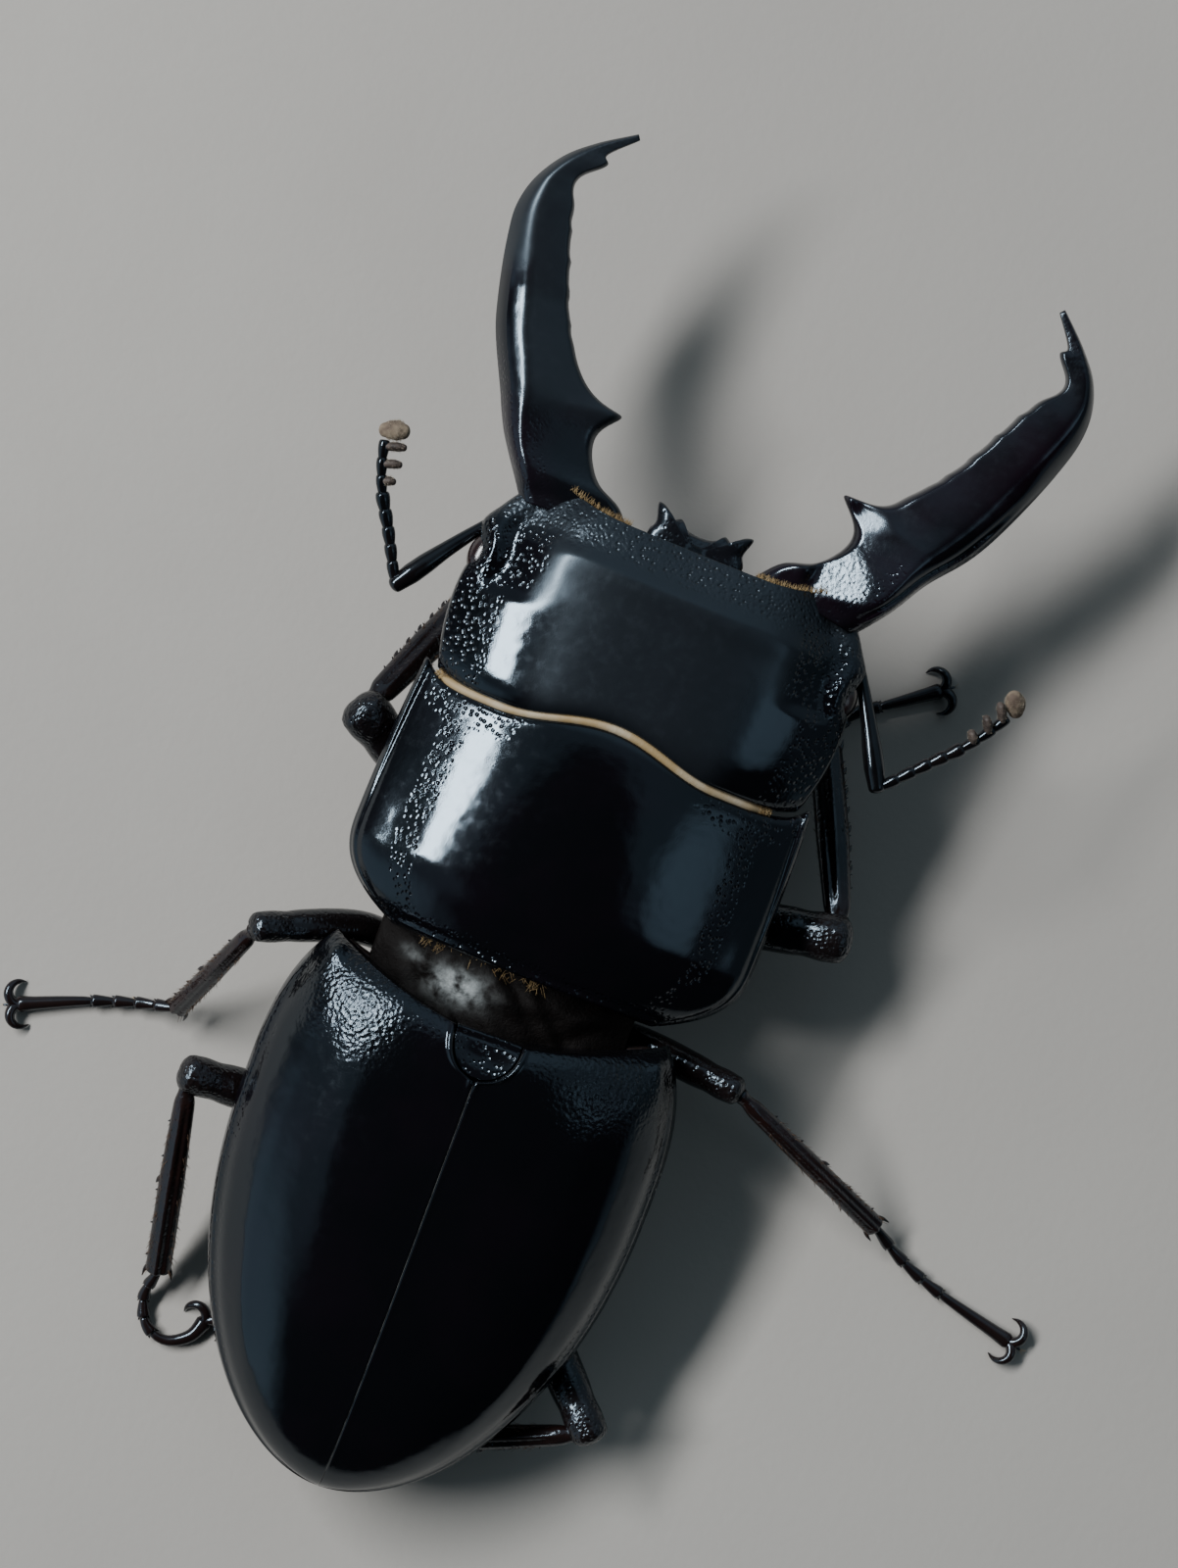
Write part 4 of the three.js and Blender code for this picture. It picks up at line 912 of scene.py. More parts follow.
def head_top_z(u, y):
    side = np.abs(u)
    ridge = HEAD["ridge_y"] - 0.5 * smooth(0.48, 0.72, side)
    forehead = clamp((y - ridge) / (HEAD["front_y"] - ridge + 0.4)) ** 1.15
    nape = clamp((17 - y) / 3) ** 2
    height = HEAD["height"] - HEAD["drop"] * forehead * (1 - 0.5 * side) - 0.35 * nape
    z = HEAD["margin_z"] + 1.08 * height * (1 - side**2.9)
    z += 0.06 * hill(y, ridge - 0.5, 0.8) * (1 - side**4) - 0.13 * hill(y, ridge + 1.1, 0.8) * smooth(1.0, 0.7, side)
    z -= 0.03 * hill(side, 0.67, 0.09)  # an even slope beside the disc
    z += 0.5 * hill(side, 0.93, 0.055) * hill(y, 22.9, 1.9)  # the brow over the eye
    fall = 0.3 * smooth(20.2, 21.2, y) + 0.12 * np.clip(y - 20.3, 0, 3.5)
    z -= fall * smooth(0.56, 0.84, side) * smooth(1.0, 0.82, side)  # the temple
    from_rear = y - head_rear_y(u)
    return z - 0.4 * np.exp(-np.maximum(from_rear, 0) / 0.3)


def head():
    line = lambda u, v: lerp(head_rear_y(u), head_front_y(u), v)
    low = lambda u, y: HEAD["margin_z"] - HEAD["wall"] - HEAD["depth"] * (1 - np.abs(u) ** 2.6)
    return boat(line, head_half_width, head_top_z, low, 120, 100, 0.16)


def head_marks(x, y, z):
    side = np.abs(x) / np.maximum(head_half_width(y), 0.1)
    cheek = smooth(0.73, 0.82, side) + 0.9 * smooth(0.6, 0.7, side) * smooth(20.6, 21.8, y)
    brow = smooth(24.2, 25.8, y)
    disc = 0.8 * smooth(0.63, 0.42, side) * smooth(25.2, 24.0, y)
    disc = np.maximum(disc, 0.75 * smooth(0.72, 0.62, side) * smooth(19.6, 22.0, y))
    return {
        "pits": np.maximum(0.62 * cheek, 0.6 * brow),
        "rugose": brow * 0.5 + 0.1 * cheek,
        "dull": np.maximum(disc, brow * 0.75),
    }


# The right half of the face plate's outline, from the head round to the notch in the middle.
CLYPEUS_HALF = [
    (3.0, 26.4), (3.05, 27.45), (2.8, 28.05), (3.05, 29.2), (2.6, 29.15), (1.9, 28.55), (1.4, 28.75), (0.9, 28.3),
    (0.0, 28.15),
]


def clypeus():
    """The face plate: a flat pillow on a forked outline."""
    half = np.array(CLYPEUS_HALF)
    loop = np.vstack([half, half[-2::-1] * np.array([-1, 1])])
    line = Path(np.column_stack([loop, np.zeros(len(loop))]), 8).points[:, :2]
    back = np.column_stack([np.linspace(-half[0, 0], half[0, 0], 14)[1:-1], np.full(12, half[0, 1])])
    outline = np.vstack([line, back])
    centre = np.array([0, 27.1])
    rings = []
    for turn in np.linspace(-0.97, 0.97, 15) * math.pi / 2:
        reach = math.cos(turn) ** 0.45
        flat = centre + (outline - centre) * reach
        crest = 0.18 * hill(np.abs(flat[:, 0]), 2.2, 0.7) * smooth(27.4, 28.4, flat[:, 1])
        rings.append(np.column_stack([flat, 12.3 + 0.62 * math.sin(turn) + crest * (turn > 0) * math.sin(turn)]))
    return Shape().rings(rings)


def mentum():
    def low(u, y):
        return HEAD["margin_z"] - HEAD["wall"] - HEAD["depth"] - MENTUM["thickness"] - 0.1 * (1 - u**4)

    half = lambda y: lerp(4.2, 5.2, clamp((y - MENTUM["rear_y"]) / 4.4))
    line = lambda u, v: lerp(MENTUM["rear_y"], MENTUM["front_y"] - 0.9 * u**2, v)
    return boat(line, half, lambda u, y: MENTUM["top_z"] + 0 * u, low, 30, 24)


# ---------------------------------------------------------------- mandibles


def mandible_edges(t, cast):
    stations = np.array(MANDIBLE_STATIONS)
    outer = Path(stations[:, [0, 1, 4]]).knot(t)
    inner = Path(stations[:, [2, 3, 5]]).knot(t)
    half, rise = outer[..., 2].copy(), inner[..., 2].copy()
    outer, inner = outer[..., :2].copy(), inner[..., :2].copy()
    y = outer[..., 1]
    outer[..., 0] += cast["outer"] * smooth(5, 10, y) * smooth(20.5, 15.5, y)
    outer[..., 0] += cast["base"] * hill(y, 4.2, 2.4)
    y = inner[..., 1].copy()
    inner[..., 0] += cast["inner"] * smooth(6, 8.5, y) * smooth(20, 15.5, y)
    # The inner teeth grow out of the edge with hollow flanks: the main one, and a knob before the tip.
    main = y - 5.7
    away = np.sqrt(main**2 + 0.12**2) - 0.12
    thorn = np.where(main < 0, np.exp(-((away / 0.6) ** 1.25)), np.exp(-((away / 0.75) ** 1.1)))
    teeth = thorn[..., None] * np.array([-cast["tooth"], 0.5])
    tip = y - 20.1
    thorn = np.exp(-((np.abs(tip) / np.where(tip < 0, 0.62, 0.42)) ** 2.2))
    teeth = teeth + thorn[..., None] * np.array([-0.72, 0.12])
    saw = np.abs(np.sin(y * 1.9 + 0.4 * np.sin(y * 3.1))) ** 3 * smooth(8.5, 10.5, y) * smooth(18.5, 17.0, y)
    teeth[..., 0] -= 0.1 * saw
    rise = rise + cast["climb"] * np.clip(y - 11.5, 0, 7)
    outer[..., 1] *= cast["stretch"]
    inner[..., 1] *= cast["stretch"]
    return outer, inner, teeth, half, rise


# How far the outer face has dropped from the crest, 0, to the edge, 1: an even slope, then steeper.
SHARES = np.linspace(0, 1, 200)
OUTER_DROP = np.cumsum(0.47 * smooth(0, 0.18, SHARES) + 2.2 * smooth(0.3, 1.0, SHARES) ** 2)
OUTER_DROP = OUTER_DROP / OUTER_DROP[-1]


def mandible_shape(cast):
    """The mandible, and the marks of its points."""
    t = np.unique(np.r_[np.linspace(0, 1, 130), np.linspace(0.26, 0.46, 70), np.linspace(0.79, 0.95, 50)])
    angle = turns(64)
    outer, inner, teeth, half, rise = mandible_edges(t, cast)
    reach, lift = np.cos(angle)[None], np.sin(angle)[None]
    t, y = t[:, None], inner[:, None, 1]
    # The crest, where the inner face meets the outer face, from -1 at the inner edge to 1 outside.
    width = np.linalg.norm(outer - inner, axis=-1)[:, None]
    crest = np.maximum(0.16, 1 - 2 * lerp(1.0, 1.9, smooth(1, 8, y)) / width)
    a = clamp((reach + 1) / (1 + crest))
    b = clamp((reach - crest) / (1 - crest))
    edge = lerp(0.46, 0.72, smooth(5, 9, y))
    blunt = edge * np.sqrt(1 - (1 - clamp(a / 0.12)) ** 2)
    inner_face = blunt + (1 - edge) * (1 - (1 - a) ** lerp(1.25, 1.35, smooth(5, 9, y)))
    outer_face = 1 - lerp(np.interp(b, SHARES, OUTER_DROP), b**2.2, smooth(11.5, 14.5, y))
    groove = cast["groove"] * smooth(0.02, 0.1, t) * smooth(0.56, 0.4, t)
    outer_face = outer_face + groove * (0.1 * hill(reach, 0.88, 0.05) - 0.16 * hill(reach, 0.76, 0.05))
    top = np.where(reach < crest, inner_face, outer_face) * lerp(cast["crown"], 1, smooth(2, 7, y))
    top = top * lerp(0.62, 1, smooth(0.0, 1.4, y))  # under the margin of the head
    bottom = -0.85 * (1 - np.abs(reach) ** 2.2) ** 0.6
    z = rise[:, None] + half[:, None] * np.where(lift > 1e-9, top, bottom)
    share = ((reach + 1) / 2)[..., None]
    flat = lerp(inner[:, None], outer[:, None], share) + teeth[:, None] * (1 - share) ** 3
    x, y = flat[..., 0], flat[..., 1]
    # An even facet slopes down to the inner edge below the right one's tooth.
    gap = FACET["z"] + FACET["slope_x"] * (x - FACET["x"]) - FACET["slope_y"] * (y - FACET["y"]) - z
    facet = cast["facet"] * smooth(6.8, 6.0, y) * smooth(-4.7, -3.9, x) * (lift > 0.02)
    z = z + facet * 0.5 * (gap - np.sqrt(gap**2 + 0.05**2))
    upper_face = cast["satin_and_sheen"] * smooth(crest + 0.3, crest - 0.2, reach) * (lift > 0)
    base = smooth(6.3, 4.0, y)
    # Beyond 11.5 mm the left one's blade is dull: rougher, to spread its highlight, and mixed to the lighter satin
    # colour as painted sheen.
    rough_sheen = 0.85 * smooth(11.5, 13.5, y) * (1 - cast["groove"]) * (lift > 0)
    side_pits = 0.4 * smooth(0.6, 0.85, reach) * smooth(13, 6, y)
    marks = {
        "pits": np.maximum(0.4 * base * hill(reach, crest - 0.25, 0.3), side_pits),
        "rugose": 0.3 * smooth(19.0, 20.6, y) + (0.08 + 0.1 * facet * smooth(4.2, 2.6, y)) * base,
        "dull": np.maximum(upper_face * lerp(1.0, 0.35, base), rough_sheen),
    }
    marks = {key: np.r_[(value + 0 * y).ravel(), 0, 0] for key, value in marks.items()}
    return Shape().rings(np.concatenate([flat, z[..., None]], -1)), marks


def add_mandible(side):
    sign = -1 if side == "left" else 1
    turn = -sign * math.radians(MANDIBLE_SPREAD[side])

    def move(points):
        x, y = points[:, 0] * sign, points[:, 1]
        return np.column_stack([
            x * math.cos(turn) - y * math.sin(turn) + sign * MANDIBLE_HINGE[0],
            x * math.sin(turn) + y * math.cos(turn) + MANDIBLE_HINGE[1],
            points[:, 2] + MANDIBLE_HINGE[2],
        ])

    name = f"mandible_{side}"
    shape, marks = mandible_shape(MANDIBLE_CAST[side])
    solid(f"{name}_horn", shape, HORN, [name], marks=marks, move=move)
    # Golden hairs in the joint, from under the head's margin onto the base of the mandible.
    count = 420
    x = rng.uniform(4.1, 8.3, count)
    u = x / head_half_width(head_front_y(x / head_half_width(27.0)))
    roots = np.column_stack([sign * x, head_front_y(u) - 0.04, rng.uniform(12.0, 12.9, count)])
    lean = np.column_stack([rng.normal(0, 0.35, count), rng.uniform(0.6, 1.0, count), rng.uniform(0.1, 0.7, count)])
    places = np.column_stack([(x - 4) / 4.4, rng.uniform(0, 0.99, count)])
    hairs(f"{name}_fringe", roots, lean, rng.uniform(0.3, 0.65, count), 0.018, places, HAIR, 0.3)


# ---------------------------------------------------------------- feelers and palps


def beads(path, count, total, neck, body, sides=18, lean=0.7, grow=0.0, club=99):
    """The first count segments of a feeler with total segments, as one string of beads. They grow
    by a share of grow each, up to segment club."""
    shape = Shape()
    for segment in range(count):
        swell = (lerp(neck, body, 0.5), lerp(neck, body, 0.9))
        radii = np.array([neck * 0.9, neck, *swell, body, body * 0.96, neck * 1.05])
        radii *= 1 + grow * segment if segment < club else 0.95
        t = (segment + np.array([0.0, 0.08, 0.3, 0.52, lean, 0.9, 0.99])) / total

        def section(s, a, t=t, radii=radii):
            radius = np.interp(s, t, radii)
            return radius * np.cos(a), radius * np.sin(a)

        shape.limb(path, np.unique(np.r_[t, np.linspace(t[0], t[-1], 13)]), section, sides, (0.2, 0.2))
    return shape


def add_leaf(shape, root, tip, ahead, thick, tall, count):
    """A leaf of the club, from root to tip, and count hairs on it: their roots and directions."""
    line = Path([root, (root + tip) / 2 + ahead * 0.04, tip])
    along = lambda t: thick * np.interp(t, [0, 0.25, 0.7, 1], [0.75, 0.95, 1.05, 0.8])
    high = lambda t: tall * np.interp(t, [0, 0.25, 0.7, 1], [0.7, 0.9, 1.0, 0.8])
    shape.limb(line, np.linspace(0, 1, 16), round_section(along, high), 20, (0.8, 0.8))
    share, angle = rng.uniform(0.1, 1.0, count), rng.uniform(0, 2 * math.pi, count)
    axis = unit(tip - root)
    across, rise = side_and_rise(axis)
    out = np.cos(angle)[:, None] * across + np.sin(angle)[:, None] * rise
    offset = across * (np.cos(angle) * along(share))[:, None] + rise * (np.sin(angle) * high(share))[:, None]
    return line.at(share) + offset * 0.95, out + axis * 0.7 + rng.normal(0, 0.25, (count, 3))


def add_antenna(side):
    part = ANTENNAE[side]
    wide = lambda t: np.interp(t, [0, 0.12, 0.5, 0.7, 0.84, 1], [0.32, 0.35, 0.49, 0.61, 0.63, 0.5])
    scape = Shape().limb(Path(part["scape"]), np.linspace(0, 1, 40), round_section(wide, wide), 20, (0.5, 0.6))
    solid(f"antenna_{side}_stem", scape, LIMB, [f"antenna_{side}_scape"])
    whip = Path(part["whip"])
    chain = beads(whip, WHIP_SEGMENTS - 1, WHIP_SEGMENTS, 0.29, 0.365, grow=0.05, club=5)
    solid(f"antenna_{side}_chain", chain, LIMB, [f"antenna_{side}_funicle"])
    inward = unit(part["inward"])
    leaves, cap = Shape(), Shape()
    grown = []
    for segment, reach in LAMELLAE.items():
        place = (segment + 0.62) / WHIP_SEGMENTS
        centre, ahead = whip.at(place), whip.tangent(place)
        grown.append(add_leaf(leaves, centre, centre + inward * (reach - 0.15) + ahead * 0.05, ahead, 0.27, 0.42, 70))
    solid(f"antenna_{side}_leaves", leaves, FELT, [f"antenna_{side}_club"])
    centre, ahead = whip.at(0.955), whip.tangent(0.955)
    grown.append(add_leaf(cap, centre - inward * 0.1, centre + inward * CAP_REACH, ahead, 0.58, 0.55, 520))
    solid(f"antenna_{side}_cap", cap, CAP)
    roots, ways = np.vstack([g[0] for g in grown]), np.vstack([g[1] for g in grown])
    places = np.column_stack([rng.uniform(0, 0.99, len(roots)), np.linspace(0, 0.99, len(roots))])
    lengths = rng.uniform(0.08, 0.18, len(roots))
    hairs(f"antenna_{side}_felt", roots, ways, lengths, 0.011, places, FELT_HAIR)


def add_palp(kind, side, sign):
    palp = PALPS[kind]
    name = f"{kind}_palp_{side}"
    line = Path([(sign * x, y, z) for x, y, z in palp["line"]])
    shape = beads(line, palp["beads"], palp["beads"], palp["radius"] * 0.5, palp["radius"], 16, 0.66)
    solid(f"{name}_beads", shape, LIMB, [name], marks=plain(rust=0.7))


# ---------------------------------------------------------------- legs


def leg_frame(leg):
    knee, ankle = np.array(leg["knee"]), np.array(leg["ankle"])
    ahead = unit(ankle - knee)
    side, _ = side_and_rise(ahead)
    outer = side * (1 if side[0] * knee[0] >= 0 else -1)
    return knee, ankle, ahead, outer


def add_femur(name, leg, girth):
    hip = np.array([*leg["hip"], FEMUR["start_z"]])
    thigh, knee = np.array(leg["thigh"]), np.array(leg["knee"])
    heading = level(thigh - hip)
    line = Path([hip + heading * FEMUR["start"], thigh, knee])
    swell = lambda t: np.sin(math.pi * clamp(t) ** 0.85) ** 0.8
    waist = lambda t: 1 - 0.35 * smooth(0.12, 0.0, t) - 0.12 * hill(t, 0.13, 0.04)
    knob = lambda t: 1 + 0.03 * hill(t, 0.93, 0.05) - 0.05 * hill(t, 0.83, 0.05)
    wide = lambda t: lerp(girth["knee"][0], girth["femur"][0], swell(t)) * waist(t) * knob(t)
    high = lambda t: lerp(girth["knee"][1], girth["femur"][1], swell(t)) * waist(t) * knob(t)

    def section(t, a):
        # A shallow groove below takes the shin when the leg folds, and a faint keel runs above.
        groove = 1 - 0.2 * hill(np.cos(a), 0, 0.3) * (np.sin(a) < 0) * smooth(0.45, 0.8, t)
        keel = 1 + 0.05 * hill(np.cos(a), -0.35, 0.2) * (np.sin(a) > 0)
        return wide(t) * np.cos(a), high(t) * np.sin(a) * groove * keel

    shape = Shape().limb(line, spread(60, 1.4), section, 36, (0.5, 0.55))

    def marks(x, y, z):
        near = 0.5 * smooth(2.4, 1.2, np.hypot(x - knee[0], y - knee[1]))
        return {"pits": 0.35 + near, "rugose": 0.15 + near, "dull": 0.1, "rust": 0.05}

    solid(f"{name}_thigh", shape, LIMB, [f"{name}_femur"], marks=marks)


def add_tibia(name, pair, leg, girth):
    knee, ankle, ahead, outer = leg_frame(leg)
    start = knee + ahead * (girth["knee"][0] * 0.55)
    middle = (start + ankle) / 2 + np.array([0, 0, 0.35])
    line = Path([start, middle, ankle])
    thin, broad, end = girth["shin"]

    def half(t, axis):
        first = lerp(thin[axis], broad[axis], clamp(t / 0.5))
        body = np.where(t < 0.5, first, lerp(broad[axis], end[axis], clamp((t - 0.5) / 0.5) ** 2))
        return body * (1 - 0.25 * hill(t, 0.04, 0.04))

    wide = lambda t: half(t, 0)
    high = lambda t: half(t, 1)

    def section(t, a):
        keel = 0.16 * hill(np.cos(a), 0.1, 0.2) - 0.14 * hill(np.cos(a), -0.35, 0.14)
        keel = 1 + keel * (np.sin(a) > 0) * smooth(0.05, 0.2, t)
        return wide(t) * np.cos(a), high(t) * np.sin(a) * keel

    shape = Shape().limb(line, spread(50, 1.3), section, 48, (0.5, 0.25))
    for t in SHIN_SPINES[pair]:
        root, out = line.at(t), wide(t)
        base = root + outer * out * 0.5 - ahead * 0.1
        tip = root + outer * (out + 0.13) + ahead * 0.38
        shape.spike([base, root + outer * (out - 0.02) + ahead * 0.1, tip], [0.36, 0.2, 0.04], 12)
    for t in np.linspace(0.2, 0.92, FINE_TEETH[pair]):
        root, out = line.at(t), wide(t)
        shape.spike([root + outer * out * 0.75, root + outer * (out + 0.1) + ahead * 0.12], [0.16, 0.03], 8, 5)
    root = line.at(0.97)
    for turn in (1, -1):
        base = root + outer * turn * end[0] * 0.6
        tip = root + outer * turn * (end[0] + 0.12) + ahead * 1.05
        shape.spike([base, (base + tip) / 2 + outer * turn * 0.1, tip], [0.22, 0.14, 0.03], 10)
    marks = plain(pits=0.3, rugose=0.1, dull=0.08, rust=SHIN_RUST[pair])
    solid(f"{name}_shin", shape, LIMB, [f"{name}_tibia"], marks=marks)
    # Bristles in rows along the keels of the shin, thickest towards the ankle.
    count = BRISTLES[pair]
    t = np.sort(rng.uniform(0.12, 1.0, count) ** 0.75)
    angle = rng.choice([-0.55, 0.6, 2.6, 3.7, 4.4], count) + rng.normal(0, 0.12, count)
    tangent = line.tangent(t)
    side, rise = side_and_rise(tangent)
    offset = side * (wide(t) * np.cos(angle))[:, None] + rise * (high(t) * np.sin(angle))[:, None]
    ways = unit(offset) * 0.55 + tangent + rng.normal(0, 0.12, (count, 3))
    places = np.column_stack([np.mod(angle / (2 * math.pi), 1) * 0.99, t * 0.99])
    lengths = rng.uniform(0.28, 0.62, count)
    hairs(f"{name}_bristles", line.at(t) + offset * 0.97, ways, lengths, 0.02, places, BRISTLE)


def claw_line(base, heading, turn):
    """The line of one claw, which curls outwards and down to the ground."""
    parts = 8
    points = [np.array(base)]
    for index in range(parts):
        angle = turn * math.radians(CLAW["spread"] + CLAW["curl"] * (index + 0.5) / parts)
        step = np.array([
            heading[0] * math.cos(angle) - heading[1] * math.sin(angle),
            heading[0] * math.sin(angle) + heading[1] * math.cos(angle),
            0,
        ])
        points.append(points[-1] + step * CLAW["length"] / parts)
    for index, point in enumerate(points):
        share = index / parts
        point[2] = lerp(base[2], FEET_Z, share**1.5) + 0.42 * math.sin(math.pi * share)
    return Path(points)


def add_tarsus(name, leg, girth):
    _, ankle, ahead, _ = leg_frame(leg)
    line = Path([ankle + ahead * 0.3 * girth["shin"][2][0], *leg["foot"]])
    shape = Shape()
    roots, ways, spots = [], [], []
    for segment, (a0, a1) in enumerate(zip(FOOT_JOINTS, FOOT_JOINTS[1:])):
        long = segment == 4
        r = (0.24, 0.3, 0.38, 0.44, 0.52, 0.36) if long else (0.2, 0.27, 0.34, 0.4, 0.42, 0.3)
        t = lerp(a0, a1, np.array([0.0, 0.1, 0.45, 0.75, 0.93, 1.0]))
        section = lambda q, a, t=t, r=r: (np.interp(q, t, r) * np.cos(a), np.interp(q, t, r) * 0.9 * np.sin(a))
        shape.limb(line, np.unique(np.r_[t, np.linspace(a0, a1, 16)]), section, 18, (0.4, 0.5))
        end, tangent = line.at(a1 - 0.01), line.tangent(a1 - 0.01)
        across, _ = side_and_rise(tangent)
        if not long:
            for turn in (1, -1):
                base = end + across * turn * 0.16 - tangent * 0.1
                tip = base + across * turn * 0.2 + tangent * 0.34 - np.array([0, 0, 0.03])
                shape.spike([base, tip], [0.16, 0.03], 8, 5)
            count = 12
            roots.append(end + across * rng.uniform(-0.3, 0.3, count)[:, None] - np.array([0, 0, 0.12]))
            ways.append(tangent + across * rng.normal(0, 0.3, count)[:, None] + np.array([0, 0, -0.12]))
            spots.append(np.full(count, segment / 5))
    heading = level(line.tangent(1.0))
    base = line.at(0.975)
    for turn in (1, -1):
        shape.spike(claw_line(base, heading, turn), [0.33, 0.34, 0.31, 0.25, 0.16, 0.03], 14, 28)
    # The little foot between the claws, a stalk with two bristles.
    stalk_end = base + heading * 0.95 + np.array([0, 0, -0.05])
    shape.spike([base, stalk_end], [0.13, 0.08], 8, 5)
    roots.append(np.repeat(stalk_end[None], 2, 0))
    ways.append(np.array([heading + np.array([-heading[1], heading[0], 0]) * k for k in (0.4, -0.4)]))
    spots.append(np.full(2, 0.9))
    solid(f"{name}_foot", shape, LIMB, [f"{name}_tarsus"], marks=plain(dull=0.15, rust=0.12))
    roots, ways, spots = np.vstack(roots), np.vstack(ways), np.concatenate(spots)
    roots[:, 2] = np.maximum(roots[:, 2], FEET_Z)
    places = np.column_stack([rng.uniform(0, 0.99, len(roots)), spots])
    hairs(f"{name}_foot_hairs", roots, ways, rng.uniform(0.3, 0.5, len(roots)), 0.018, places, HAIR)


def add_leg(key, leg):
    pair = key.split("_")[0]
    name = f"leg_{key}"
    girth = GIRTH[pair]
    hip = np.array([*leg["hip"], COXA["z"]])
    coxa = Shape().ball(hip, COXA["radii"])
    heading = level(np.array(leg["thigh"]) - hip)
    trochanter = hip + heading * TROCHANTER["out"] + np.array([0, 0, TROCHANTER["rise"]])
    coxa.ball(trochanter, TROCHANTER["radii"], 20, 12)
    solid(f"{name}_hip", coxa, BELLY_SHELL, [f"{name}_coxa"], marks=plain(dull=0.3, pits=0.4))
    add_femur(name, leg, girth)
    add_tibia(name, pair, leg, girth)
    add_tarsus(name, leg, girth)


# ---------------------------------------------------------------- the beetle

solid("elytron_left_case", elytron(-1), SHELL, ["elytron_left"], True, elytron_marks)
solid("elytron_right_case", elytron(1), SHELL, ["elytron_right"], True, elytron_marks)
solid("suture_line", suture_line(), LINE, hind=True)
solid("scutellum_plate", scutellum(), SHELL, ["scutellum"], True, plain(pits=0.55, dull=0.2))
solid("mesothorax_skin", mesothorax(), SKIN, ["mesothorax"], True, mesothorax_marks)
solid("metasternum_plate", metasternum(), BELLY_SHELL, ["metasternum"], True, plain(pits=0.5, dull=0.4, rust=0.2))
solid("abdomen_plates", abdomen(), BELLY_SHELL, ["abdomen"], True, plain(pits=0.4, dull=0.4, rust=0.3))
solid("pronotum_plate", pronotum(), SHELL, ["pronotum"], marks=pronotum_marks)
solid("prosternum_plate", prosternum(), BELLY_SHELL, ["prosternum"], marks=plain(pits=0.5, dull=0.4, rust=0.2))
solid("head_capsule", head(), SHELL, ["head"], marks=head_marks)
for side, sign in (("left", -1), ("right", 1)):
    x, y, z = EYE["centre"]
    solid(f"eye_{side}_lens", Shape().ball((sign * x, y, z), EYE["radii"], 40, 26), EYE_LENS, [f"eye_{side}"])
    add_mandible(side)
    add_antenna(side)
    for kind in PALPS:
        add_palp(kind, side, sign)
solid("clypeus_plate", clypeus(), SHELL, ["clypeus"], marks=plain(pits=0.35, dull=0.4))
solid("mentum_plate", mentum(), BELLY_SHELL, ["mentum"], marks=plain(pits=0.7, dull=0.5, rust=0.2))
for key, leg in LEGS.items():
    add_leg(key, leg)


def seam():
    """The tan seam between the head and the pronotum: a low roll under a dense short fringe."""
    x = np.linspace(-11.6, 10.2, 160)
    z = pronotum_top_z(x / PRONOTUM["front_half_width"], pronotum_front_y(x) - 0.6) - 0.4
    line = Path(np.column_stack([x, pronotum_front_y(x) + 0.22, z]), 3)
    end = lambda t: smooth(0, 0.06, t) * smooth(1, 0.92, t)
    section = round_section(lambda t: 0.06 + 0.24 * end(t), lambda t: 0.1 + 0.27 * end(t))
    # The seam's pale tan fades to its darker brown towards both ends: painted shade where it runs into the corners
    # between head and pronotum.
    solid("neck_seam", Shape().limb(line, np.linspace(0, 1, 300), section, 14), SEAM,
          marks=lambda x, y, z: {"pale": smooth(-11.5, -7.0, x) * smooth(10.5, 7.5, x)})
    count = 4600
    t = rng.uniform(0.004, 0.996, count)
    row = rng.uniform(-1, 1, count)
    tangent = line.tangent(t)
    ahead = unit(np.cross((0, 0, 1), tangent))
    lift = np.array([0, 0, 1.0]) * (0.25 * np.sqrt(1 - 0.8 * row**2))[:, None]
    roots = line.at(t) + ahead * (0.22 * row)[:, None] + lift
    ways = ahead * (0.8 + 0.5 * row)[:, None] + np.array([0, 0, 0.42]) + rng.normal(0, 0.14, (count, 3))
    places = np.column_stack([t * 0.99, (row + 1) / 2 * 0.99])
    hairs("neck_fringe", roots, ways, rng.uniform(0.12, 0.24, count), 0.018, places, HAIR, 0.3)


seam()


def waist_hairs():
    """Sparse golden hairs at the pronotum's hind margin and over the skin of the waist."""
    count = 170
    x = rng.choice([-7.2, -6.3, -5.1, -3.2, -1.4, 0.6], count) + rng.normal(0, 0.55, count)
    x = np.clip(x, -7.8, 3.0)
    y = rng.uniform(-0.45, 0.1, count)
    z = lerp(12.3, 9.6, np.abs(x / MESOTHORAX["half_width"]) ** 1.7) - 0.3 + rng.uniform(-0.3, 0.2, count)
    ways = [rng.normal(0, 0.5, count), rng.uniform(-1.0, -0.5, count), rng.uniform(-0.35, 0.25, count)]
    ways = np.column_stack(ways)
    places = np.column_stack([(x + 9) / 18, rng.uniform(0, 0.99, count)])
    roots = np.column_stack([x, y, z])
    hairs("waist_hairs", roots, ways, rng.uniform(0.3, 0.8, count), 0.016, places, HAIR, 0.2)


waist_hairs()

# ---------------------------------------------------------------- camera, floor and light

VIEW = {"target": (-0.64, 12.05, 12.0), "distance": 200.0, "roll": 3.0, "heading": 68.07, "lens": 76.92}
FLOOR_HALF = 1.5  # in metres
SKY_COLOUR = (0.66, 0.86, 1.0, 1)
SKY_GREY = 0.27
SKY_DARKEST = 0.015
# Panels in the sky: azimuth, elevation, the angles from their middle to their edge and to where their
# full strength begins, and that strength. A dark one has a strength below 0.
SKY = [
    (-174, 77, 32, 28, -0.26),
    (158, 30, 56, 45, -0.25),
    (88, 45, 13, 5, 0.7),
    (85, 20, 28, 12, -0.15),
    (-85, 14, 24, 12, -0.2),
    (-130, 10, 30, 12, 0.45),
    (0, 36, 34, 10, 0.3),
]


